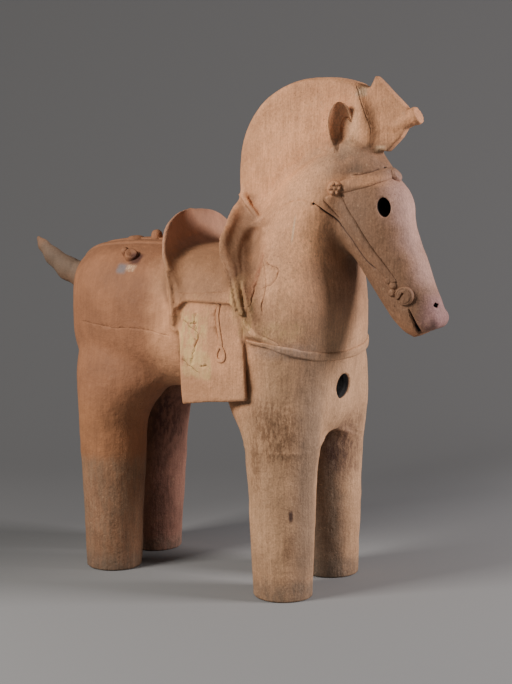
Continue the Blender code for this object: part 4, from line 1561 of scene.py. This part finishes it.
class Weave:
    """Wires shader nodes in one tree."""

    def __init__(self, tree: bpy.types.NodeTree) -> None:
        """Keeps the tree to wire in."""
        self.tree = tree

    def node(self, kind: str, values: dict, **settings: object) -> bpy.types.Node:
        """Adds a node, with its settings, and a socket or a constant on each named input."""
        made = self.tree.nodes.new(kind)
        for name, value in settings.items():
            setattr(made, name, value)
        for key, value in values.items():
            if isinstance(value, bpy.types.NodeSocket):
                self.tree.links.new(value, made.inputs[key])
            else:
                made.inputs[key].default_value = value
        return made

    def painted(self, name: str) -> bpy.types.NodeSocket:
        """A number that is stored on the mesh."""
        return self.node("ShaderNodeAttribute", {}, attribute_name=name).outputs["Fac"]

    def maths(self, operation: str, *values: object) -> bpy.types.NodeSocket:
        """One sum of numbers."""
        return self.node("ShaderNodeMath", dict(enumerate(values)), operation=operation).outputs[0]

    def vector(self, operation: str, *values: object) -> bpy.types.NodeSocket:
        """One sum of vectors."""
        made = self.node("ShaderNodeVectorMath", dict(enumerate(values)), operation=operation)
        return made.outputs["Value" if operation in ("LENGTH", "DOT_PRODUCT") else "Vector"]

    def ease(self, value: object, low: float, high: float) -> bpy.types.NodeSocket:
        """From 0 at `low` to 1 at `high`, eased at both ends; `low` may be the larger."""
        made = self.node("ShaderNodeMapRange", {"Value": value, "From Min": low, "From Max": high},
                         interpolation_type="SMOOTHSTEP")
        return made.outputs["Result"]

    def noise(self, place: object, scale: float, detail: float = 3.0, rough: float = 0.55,
              stretch: Point = (1, 1, 1), shift: float = 0.0) -> bpy.types.NodeSocket:
        """Fractal noise, mostly from 0.25 to 0.75."""
        place = self.vector("MULTIPLY_ADD", place, stretch, (shift, shift * 1.7, shift * 0.6))
        made = self.node("ShaderNodeTexNoise", {"Vector": place, "Scale": scale, "Detail": detail,
                                                "Roughness": rough})
        return made.outputs["Fac"]

    def blend(self, mask: object, under: object, over: object) -> bpy.types.NodeSocket:
        """Lays one colour over another where the mask is 1."""
        made = self.node("ShaderNodeMix", {0: mask, 6: under, 7: over}, data_type="RGBA")
        return made.outputs[2]

    def cover(self, mask: object, strength: float, under: object, over: Hue
              ) -> bpy.types.NodeSocket:
        """Lays one of the colours over another where the mask is 1, as far as `strength`."""
        return self.blend(self.maths("MULTIPLY", mask, strength), under, over.linear)

    def group(self, tree: bpy.types.NodeTree, values: dict) -> bpy.types.Node:
        """Adds a node group."""
        return self.node("ShaderNodeGroup", values, node_tree=tree)


def new_group(name: str, inputs: dict[str, str], outputs: dict[str, str]
              ) -> tuple[Weave, bpy.types.Node, bpy.types.Node]:
    """Starts a node group.

    Args:
        name: The group's name.
        inputs: Kind of socket for each input.
        outputs: Kind of socket for each output.

    Returns:
        What wires it, its input node and its output node.
    """
    tree = bpy.data.node_groups.new(name, "ShaderNodeTree")
    for way, sockets in (("INPUT", inputs), ("OUTPUT", outputs)):
        for label, kind in sockets.items():
            tree.interface.new_socket(name=label, in_out=way, socket_type=kind)
    return Weave(tree), tree.nodes.new("NodeGroupInput"), tree.nodes.new("NodeGroupOutput")


VECTOR, VALUE, COLOUR = "NodeSocketVector", "NodeSocketFloat", "NodeSocketColor"


@dataclass(frozen=True)
class Blot:
    """One patch of colour on the clay: a rounded box in space with a ragged edge.

    Attributes:
        strength: How far it covers.
        ragged: How far noise moves its edge, as a share of the half sizes.
        soft: How wide its edge is, as a share of the half sizes.
        mottle: How much of it is broken up: 0 is solid.
    """

    hue: Hue
    middle: Point
    half: Point
    strength: float
    ragged: float = 0.5
    soft: float = 0.3
    mottle: float = 0.0
    grain: float = 60.0


BLOTS: tuple[Blot, ...] = (
    # broad differences of clay and firing
    Blot(Hue.NECK, (0.26, 0.0, 0.93), (0.26, 0.3, 0.29), 1.0, 0.25, 0.5),
    Blot(Hue.FORE, (0.24, 0.0, 0.30), (0.18, 0.3, 0.42), 1.0, 0.25, 0.6),
    Blot(Hue.FLAP, (0.045, 0.0, 0.66), (0.150, 0.3, 0.24), 0.85, 0.15, 0.25),
    Blot(Hue.HEAD, (0.46, 0.0, 0.84), (0.150, 0.2, 0.20), 0.9, 0.15, 0.25),
    Blot(Hue.PINK, (0.07, 0.0, 0.79), (0.15, 0.14, 0.12), 0.5, 0.3, 0.5),
    Blot(Hue.SEAT, (0.02, 0.0, 0.765), (0.120, 0.30, 0.075), 1.0, 0.15, 0.3),
    Blot(Hue.ROSE, (-0.082, 0.0, 0.84), (0.022, 0.22, 0.070), 0.25, 0.2, 0.5),
    Blot(Hue.PLUM, (-0.28, 0.14, 0.20), (0.16, 0.125, 0.30), 0.9, 0.2, 0.3),
    Blot(Hue.EARTH, (-0.50, 0.0, 0.74), (0.11, 0.06, 0.07), 0.85, 0.4, 0.6),
    Blot(Hue.GREY, (-0.49, 0.0, 0.75), (0.10, 0.06, 0.07), 0.70, 0.4, 0.6),
    Blot(Hue.ORANGE, (-0.31, -0.14, 0.33), (0.13, 0.12, 0.09), 0.55, 0.5, 0.7),
    Blot(Hue.PALE, (-0.28, -0.14, 0.120), (0.15, 0.12, 0.165), 0.75, 0.12, 0.10, 0.35, 45.0),
    Blot(Hue.ROSE, (0.470, 0.0, 0.935), (0.036, 0.060, 0.050), 0.8, 0.3, 0.7),
    Blot(Hue.ROSE, (0.505, 0.0, 0.865), (0.040, 0.052, 0.050), 0.8, 0.3, 0.7),
    Blot(Hue.ROSE, (0.535, 0.0, 0.785), (0.036, 0.044, 0.050), 0.8, 0.3, 0.7),
    Blot(Hue.MAUVE, (0.552, 0.0, 0.680), (0.030, 0.050, 0.040), 1.0, 0.3, 0.5),
    # stains, with some patches of painted shade and light, marked one by one
    Blot(Hue.MAROON, (-0.235, 0.03, 0.375), (0.045, 0.07, 0.10), 0.85, 0.9, 0.5, 0.6, 70.0),
    Blot(Hue.MAROON, (-0.235, 0.045, 0.20), (0.020, 0.06, 0.18), 0.5, 0.8, 0.6, 0.5, 60.0),
    Blot(Hue.EARTH, (0.236, -0.19, 0.385), (0.042, 0.06, 0.055), 0.75, 0.9, 0.6, 0.7, 85.0),
    Blot(Hue.EARTH, (0.215, -0.19, 0.435), (0.050, 0.06, 0.040), 0.55, 0.9, 0.6, 0.7, 85.0),
    Blot(Hue.EARTH, (0.178, -0.18, 0.335), (0.016, 0.06, 0.075), 0.6, 0.9, 0.6, 0.75, 95.0),
    Blot(Hue.MAROON, (0.262, -0.165, 0.205), (0.0035, 0.03, 0.013), 0.9, 0.5, 0.5),
    Blot(Hue.EARTH, (0.258, -0.165, 0.135), (0.010, 0.03, 0.030), 0.55, 0.9, 0.6, 0.5, 90.0),
    # Painted shadow of the near fore leg on the far fore leg's inner side.
    Blot(Hue.GREY, (0.232, 0.045, 0.22), (0.045, 0.045, 0.28), 0.85, 0.25, 0.45),
    # Darker down the pommel's front face: painted shade of that face, over its brown dirty clay.
    Blot(Hue.HEAD, (0.090, -0.082, 0.872), (0.028, 0.036, 0.040), 0.70, 0.2, 0.5),
    Blot(Hue.HEAD, (0.104, -0.125, 0.820), (0.030, 0.036, 0.044), 0.70, 0.2, 0.5),
    Blot(Hue.HEAD, (0.132, -0.162, 0.760), (0.024, 0.030, 0.040), 0.70, 0.2, 0.5),
    # Painted shade in the right ear's hollow.
    Blot(Hue.GREY, (0.326, -0.056, 1.085), (0.022, 0.022, 0.058), 0.45, 0.2, 0.4),
    # Painted shadow of the right ear on the mane beside it.
    Blot(Hue.EARTH, (0.382, -0.020, 1.112), (0.014, 0.03, 0.030), 0.50, 0.3, 0.7),
    Blot(Hue.GREY, (0.290, -0.125, 0.28), (0.028, 0.034, 0.28), 0.60, 0.3, 0.6),
    Blot(Hue.CREAM, (0.166, -0.205, 0.668), (0.018, 0.02, 0.040), 0.75, 0.7, 0.30, 0.5, 60.0),
    Blot(Hue.GREY, (0.365, -0.08, 0.885), (0.045, 0.04, 0.050), 0.25, 0.4, 0.7),
    # Painted light on the front halves of the ears' hollows.
    Blot(Hue.BONE, (0.345, 0.0, 1.085), (0.016, 0.095, 0.050), 0.35, 0.3, 0.6),
    # A dark stain on the far fore leg, made stronger as painted shadow of the near fore leg.
    Blot(Hue.MAROON, (0.270, 0.060, 0.345), (0.035, 0.05, 0.075), 0.75, 0.8, 0.6, 0.5, 70.0),
    Blot(Hue.GREY, (0.22, 0.0, 0.012), (0.12, 0.25, 0.030), 0.75, 0.8, 0.8, 0.3, 60.0),
    Blot(Hue.GREY, (-0.28, 0.0, 0.005), (0.12, 0.25, 0.030), 0.65, 0.8, 0.8, 0.3, 60.0),
    Blot(Hue.GREY, (0.33, 0.0, 1.02), (0.075, 0.10, 0.035), 0.55, 0.6, 0.7),
    Blot(Hue.EARTH, (0.405, 0.0, 1.10), (0.040, 0.05, 0.050), 0.30, 0.8, 0.6, 0.7, 90.0),
    Blot(Hue.EARTH, (0.17, -0.16, 0.71), (0.020, 0.08, 0.080), 0.45, 0.9, 0.6, 0.5, 60.0),
    Blot(Hue.SLATE, (0.25, -0.19, 0.590), (0.060, 0.05, 0.016), 0.30, 0.7, 0.6, 0.4, 90.0),
    # pigment, mortar and mends
    Blot(Hue.CREAM, (0.034, -0.2, 0.548), (0.036, 0.03, 0.034), 0.95, 0.70, 0.20, 0.45, 60.0),
    Blot(Hue.CREAM, (0.018, -0.2, 0.612), (0.040, 0.03, 0.062), 0.90, 0.80, 0.30, 0.85, 70.0),
    Blot(Hue.CREAM, (0.138, -0.195, 0.705), (0.013, 0.03, 0.045), 0.65, 0.5, 0.5, 0.3, 70.0),
    Blot(Hue.CREAM, (0.235, -0.19, 0.637), (0.050, 0.05, 0.020), 0.32, 0.8, 0.4, 0.7, 70.0),
    Blot(Hue.BONE, (0.262, -0.10, 0.985), (0.055, 0.09, 0.070), 0.12, 0.2, 0.10, 0.2, 50.0),
    Blot(Hue.RUST, (0.172, -0.15, 0.740), (0.006, 0.06, 0.075), 0.55, 0.9, 0.6, 0.4, 60.0),
    Blot(Hue.BONE, (0.243, -0.12, 0.862), (0.0022, 0.03, 0.026), 0.85, 0.5, 0.4),
    Blot(Hue.NECK, (0.38, -0.066, 0.975), (0.055, 0.05, 0.013), 0.45, 0.3, 0.5),
    Blot(Hue.BONE, (0.362, -0.03, 1.172), (0.010, 0.03, 0.010), 0.8, 0.6, 0.5),
    Blot(Hue.BONE, (0.405, -0.02, 1.043), (0.010, 0.03, 0.007), 0.9, 0.6, 0.5),
    Blot(Hue.SLATE, (-0.205, -0.150, 0.752), (0.013, 0.03, 0.010), 0.7, 0.7, 0.5),
    Blot(Hue.BONE, (-0.180, -0.150, 0.754), (0.012, 0.03, 0.007), 0.7, 0.9, 0.4, 0.7, 160.0),
    # Dark on the rump stub's right side: painted shade of its broken face and beside it, with the
    # dark core showing there.
    Blot(Hue.MAROON, (-0.176, -0.135, 0.773), (0.015, 0.014, 0.015), 0.85, 0.5, 0.4),
    Blot(Hue.EARTH, (-0.040, -0.20, 0.660), (0.007, 0.03, 0.030), 0.5, 0.5, 0.5))


def blot_group() -> bpy.types.NodeTree:
    """A mask for one blot.

    Formula: (x**4 + y**4 + z**4) ** 0.25 of the place in half sizes, plus noise, eased about 1.
    """
    weave, given, made = new_group("blot", {"Place": VECTOR, "Middle": VECTOR, "Half": VECTOR,
                                            "Ragged": VALUE, "Soft": VALUE, "Mottle": VALUE,
                                            "Grain": VALUE}, {"Mask": VALUE})
    place = given.outputs["Place"]
    share = weave.vector("DIVIDE", weave.vector("SUBTRACT", place, given.outputs["Middle"]),
                         given.outputs["Half"])
    square = weave.vector("MULTIPLY", share, share)
    size = weave.maths("POWER", weave.vector("DOT_PRODUCT", square, square), 0.25)
    noise = weave.noise(place, 28.0, 5.0, 0.62)
    size = weave.maths("MULTIPLY_ADD", weave.maths("SUBTRACT", noise, 0.5),
                       weave.maths("MULTIPLY", given.outputs["Ragged"], 2.0), size)
    low = weave.maths("SUBTRACT", 1.0, given.outputs["Soft"])
    high = weave.maths("ADD", 1.0, given.outputs["Soft"])
    mask = weave.maths("SUBTRACT", 1.0, weave.ease(size, low, high))
    drawn = weave.vector("MULTIPLY", place, (1.5, 1.5, 0.5))
    fleck = weave.node("ShaderNodeTexNoise", {"Vector": drawn, "Scale": given.outputs["Grain"],
                                              "Detail": 5.0, "Roughness": 0.68}).outputs["Fac"]
    kept = weave.ease(fleck, 0.44, 0.56)
    kept = weave.maths("SUBTRACT", 1.0, weave.maths(
        "MULTIPLY", given.outputs["Mottle"], weave.maths("SUBTRACT", 1.0, kept)))
    weave.tree.links.new(weave.maths("MULTIPLY", mask, kept), made.inputs["Mask"])
    return weave.tree


def grain_group() -> bpy.types.NodeTree:
    """The clay's own texture: sand, pits, the comb's strokes and broad unevenness.

    Outputs a height in metres, a mask of dark specks, one of pale specks and a broad mottling.
    """
    weave, given, made = new_group("grain", {"Place": VECTOR}, {
        "Height": VALUE, "Dark": VALUE, "Pale": VALUE, "Mottle": VALUE, "Streak": VALUE,
        "Grit": VALUE})
    place = given.outputs["Place"]
    x, _, z = weave.node("ShaderNodeSeparateXYZ", {"Vector": place}).outputs
    coarse = weave.maths("MAXIMUM", weave.ease(x, -0.02, 0.16), weave.ease(z, 0.33, 0.22))
    coarse = weave.maths("MULTIPLY_ADD", coarse, 0.72, 0.28)
    sand = weave.noise(place, 420.0, 2.0, 0.6)
    lumps = weave.noise(place, 55.0, 6.0, 0.6)
    comb = weave.noise(place, 1.0, 3.0, 0.6, (230.0, 230.0, 16.0))
    pits = weave.ease(weave.noise(place, 190.0, 3.0, 0.6, shift=4.0), 0.66, 0.76)
    grit = weave.noise(place, 240.0, 4.0, 0.75, (1.2, 1.2, 0.8), 3.0)
    grit = weave.maths("MULTIPLY_ADD", grit, 0.65, weave.maths("MULTIPLY", comb, 0.35))
    grit = weave.maths("MULTIPLY", weave.maths("SUBTRACT", grit, 0.5), coarse)
    height = weave.maths("MULTIPLY", sand, 0.0010)
    height = weave.maths("MULTIPLY_ADD", lumps, 0.0060, height)
    height = weave.maths("MULTIPLY_ADD", comb, 0.0014, height)
    height = weave.maths("MULTIPLY_ADD", pits, -0.0014, height)
    crowd = weave.ease(weave.noise(place, 9.0, 3.0, 0.6, shift=2.0), 0.42, 0.62)
    dark = weave.ease(weave.noise(place, 150.0, 3.0, 0.65, shift=9.0), 0.60, 0.70)
    dark = weave.maths("MULTIPLY", weave.maths("MULTIPLY", dark, crowd), coarse)
    pale = weave.ease(weave.noise(place, 120.0, 4.0, 0.65, shift=6.0), 0.59, 0.70)
    results = {"Height": height, "Dark": dark, "Pale": weave.maths("MULTIPLY", pale, coarse),
               "Mottle": weave.noise(place, 11.0, 7.0, 0.62, shift=1.0),
               "Streak": weave.noise(place, 1.0, 4.0, 0.62, (85.0, 85.0, 9.0)), "Grit": grit}
    for name, result in results.items():
        weave.tree.links.new(result, made.inputs[name])
    return weave.tree


@dataclass(frozen=True)
class Finish:
    """How unglazed clay takes the light.

    Attributes:
        sheen_off: How much rougher the dusty parts are.
        crease_shade_and_dust: How far earth colour covers the creases and the feet of applied
            pieces: painted shade, with some dust in the hollows.
        cut_shade_and_stain: How far dark earth colour covers the sides of grooves and holes:
            painted shade, and the brown of the drawn lines.
    """

    roughness: float = 0.72
    sheen_off: float = 0.2
    specular: float = 0.35
    bump: float = 0.55
    crease_shade_and_dust: float = 0.5
    cut_shade_and_stain: float = 0.75
    dark_specks: float = 0.55
    pale_specks: float = 0.22

    def build(self, name: str) -> bpy.types.Material:
        """Makes the material."""
        finish = bpy.data.materials.new(name)
        finish.use_nodes = True
        shader = finish.node_tree.nodes["Principled BSDF"]
        weave = Weave(finish.node_tree)
        place = weave.node("ShaderNodeTexCoord", {}).outputs["Object"]
        grain = weave.group(grain_group(), {"Place": place}).outputs
        colour = self._blots(weave, place)
        colour = self._wear(weave, colour, grain)
        depth, crease = weave.painted("depth"), weave.painted("crease")
        # Painted shade: earth colour in creases and round the feet of applied pieces, with some
        # dust in the hollows.
        colour = weave.cover(weave.ease(crease, 0.05, 0.5), self.crease_shade_and_dust, colour, Hue.EARTH)
        # Painted shade in cuts and holes: maroon on their sides, which also gives the drawn lines
        # their brown, then black deeper in.
        colour = weave.cover(weave.ease(depth, 0.0010, 0.0024), self.cut_shade_and_stain, colour, Hue.MAROON)
        colour = weave.blend(weave.ease(depth, 0.0016, 0.0042), colour, Hue.BLACK.linear)
        finish.node_tree.links.new(colour, shader.inputs["Base Color"])
        rough = weave.maths("MULTIPLY_ADD", grain["Mottle"], self.sheen_off, self.roughness - 0.1)
        finish.node_tree.links.new(rough, shader.inputs["Roughness"])
        shader.inputs["Specular IOR Level"].default_value = self.specular
        bump = weave.node("ShaderNodeBump", {"Height": grain["Height"], "Strength": self.bump,
                                             "Distance": 1.0})
        finish.node_tree.links.new(bump.outputs["Normal"], shader.inputs["Normal"])
        return finish

    def _blots(self, weave: Weave, place: bpy.types.NodeSocket) -> bpy.types.NodeSocket:
        """Lays every blot over the rump's clay."""
        colour, tree = Hue.RUMP.linear, blot_group()
        for blot in BLOTS:
            mask = weave.group(tree, {"Place": place, "Middle": blot.middle, "Half": blot.half,
                                      "Ragged": blot.ragged, "Soft": blot.soft,
                                      "Mottle": blot.mottle, "Grain": blot.grain}).outputs["Mask"]
            colour = weave.cover(mask, blot.strength, colour, blot.hue)
        return colour

    def _wear(self, weave: Weave, colour: object, grain: object) -> bpy.types.NodeSocket:
        """Breaks the colour up: mottling, streaks, dark grit and pale specks."""
        light = weave.maths("MULTIPLY_ADD", grain["Mottle"], 0.9, 0.55)
        light = weave.maths("MULTIPLY", light,
                            weave.maths("MULTIPLY_ADD", grain["Streak"], 0.45, 0.775))
        light = weave.maths("MULTIPLY", light, weave.maths("MULTIPLY_ADD", grain["Grit"], 2.0, 1.0))
        tone = weave.node("ShaderNodeHueSaturation", {"Value": light, "Color": colour})
        colour = weave.cover(grain["Dark"], self.dark_specks, tone.outputs["Color"], Hue.EARTH)
        return weave.cover(grain["Pale"], self.pale_specks, colour, Hue.BONE)


def paint(piece: bpy.types.Object, name: str, values: Array) -> None:
    """Stores a number on each of a piece's vertices, for its finish to read."""
    made = piece.data.attributes.new(name, "FLOAT", "POINT")
    made.data.foreach_set("value", np.asarray(values, np.float32))


def vertices(piece: bpy.types.Object) -> Array:
    """A piece's vertices as rows of (x, y, z)."""
    places = np.empty(len(piece.data.vertices) * 3, np.float32)
    piece.data.vertices.foreach_get("co", places)
    return places.reshape(-1, 3)


def bed(piece: bpy.types.Object, clay: Clay) -> bpy.types.Object:
    """Tells the finish where an applied piece beds into the skin, from how far it stands out, so
    that it paints shade, with some dirt, along the piece's foot.
    """
    places = vertices(piece)
    above = clay.read(places) - hand_relief(places)
    paint(piece, "crease", np.clip(1 - above / 0.0014, 0, 1))
    return piece


def mark_shade_and_dirt(piece: bpy.types.Object, clay: Clay) -> None:
    """Tells the finish how deep in the wall each vertex is, and how far into a crease, where it
    paints shade and some dust.

    Formula: the crease is one less the clay's distance a step out from its skin, in steps.
    """
    places = vertices(piece)
    paint(piece, "depth", np.clip(hand_relief(places) - clay.read(places), 0, 0.03))
    away = clay.read(places + clay.outward(places) * CREASE_REACH)
    paint(piece, "crease", np.clip(1 - away / CREASE_REACH, 0, 1))


def main() -> None:
    """Builds the horse."""
    logging.basicConfig(level=logging.INFO, format="%(name)s: %(message)s")
    trunk, head, mane, tail, saddle = Trunk(), Head(), Mane(), Tail(), Saddle()
    clay = Clay((-0.61, -0.24, -0.03), (0.61, 0.24, 1.23), PITCH)
    trunk.press(clay)
    head.press(clay)
    tail.press(clay)
    saddle.press(clay, trunk)
    mane.press(clay)
    clay.cut(Slab((((0, 0, 0), (0, 0, 1)),), (-0.61, -0.24, -0.05), (0.61, 0.24, 0.0), 0.0), 0.003)
    places, faces = clay.surface()
    places = places + clay.outward(places) * hand_relief(places)[:, None]
    log.info("skin: %d faces", len(faces))
    body = mesh_object("horse", places, faces)
    thin_out(body, BODY_TRIANGLES)
    hollow = Clay((-0.46, -0.2, -0.08), (0.56, 0.2, 1.08), HOLLOW_PITCH)
    trunk.hollow(hollow)
    head.hollow(hollow)
    inner = mesh_object("hollow", *hollow.surface())
    log.info("hollow: %d faces", len(inner.data.polygons))
    thin_out(inner, HOLLOW_TRIANGLES)
    ears = [Ear().build(side) for side in (-1, 1)]
    carve(body, ears, "UNION")
    carve(body, [inner, *Openings().build(), *Marks().build(clay)], "DIFFERENCE")
    log.info("horse: %d triangles", sum(len(f.vertices) - 2 for f in body.data.polygons))
    mark_shade_and_dirt(body, clay)
    finish = Finish().build(SLOT)
    applied = [bed(piece, clay) for piece in (*Bridle().build(clay), *Harness().build(clay))]
    for piece in [body, *applied]:
        piece.data.materials.clear()
        piece.data.materials.append(finish)
        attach(piece, "root")
    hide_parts(NODE)
    Studio().build()


if __name__ == "__main__":
    main()
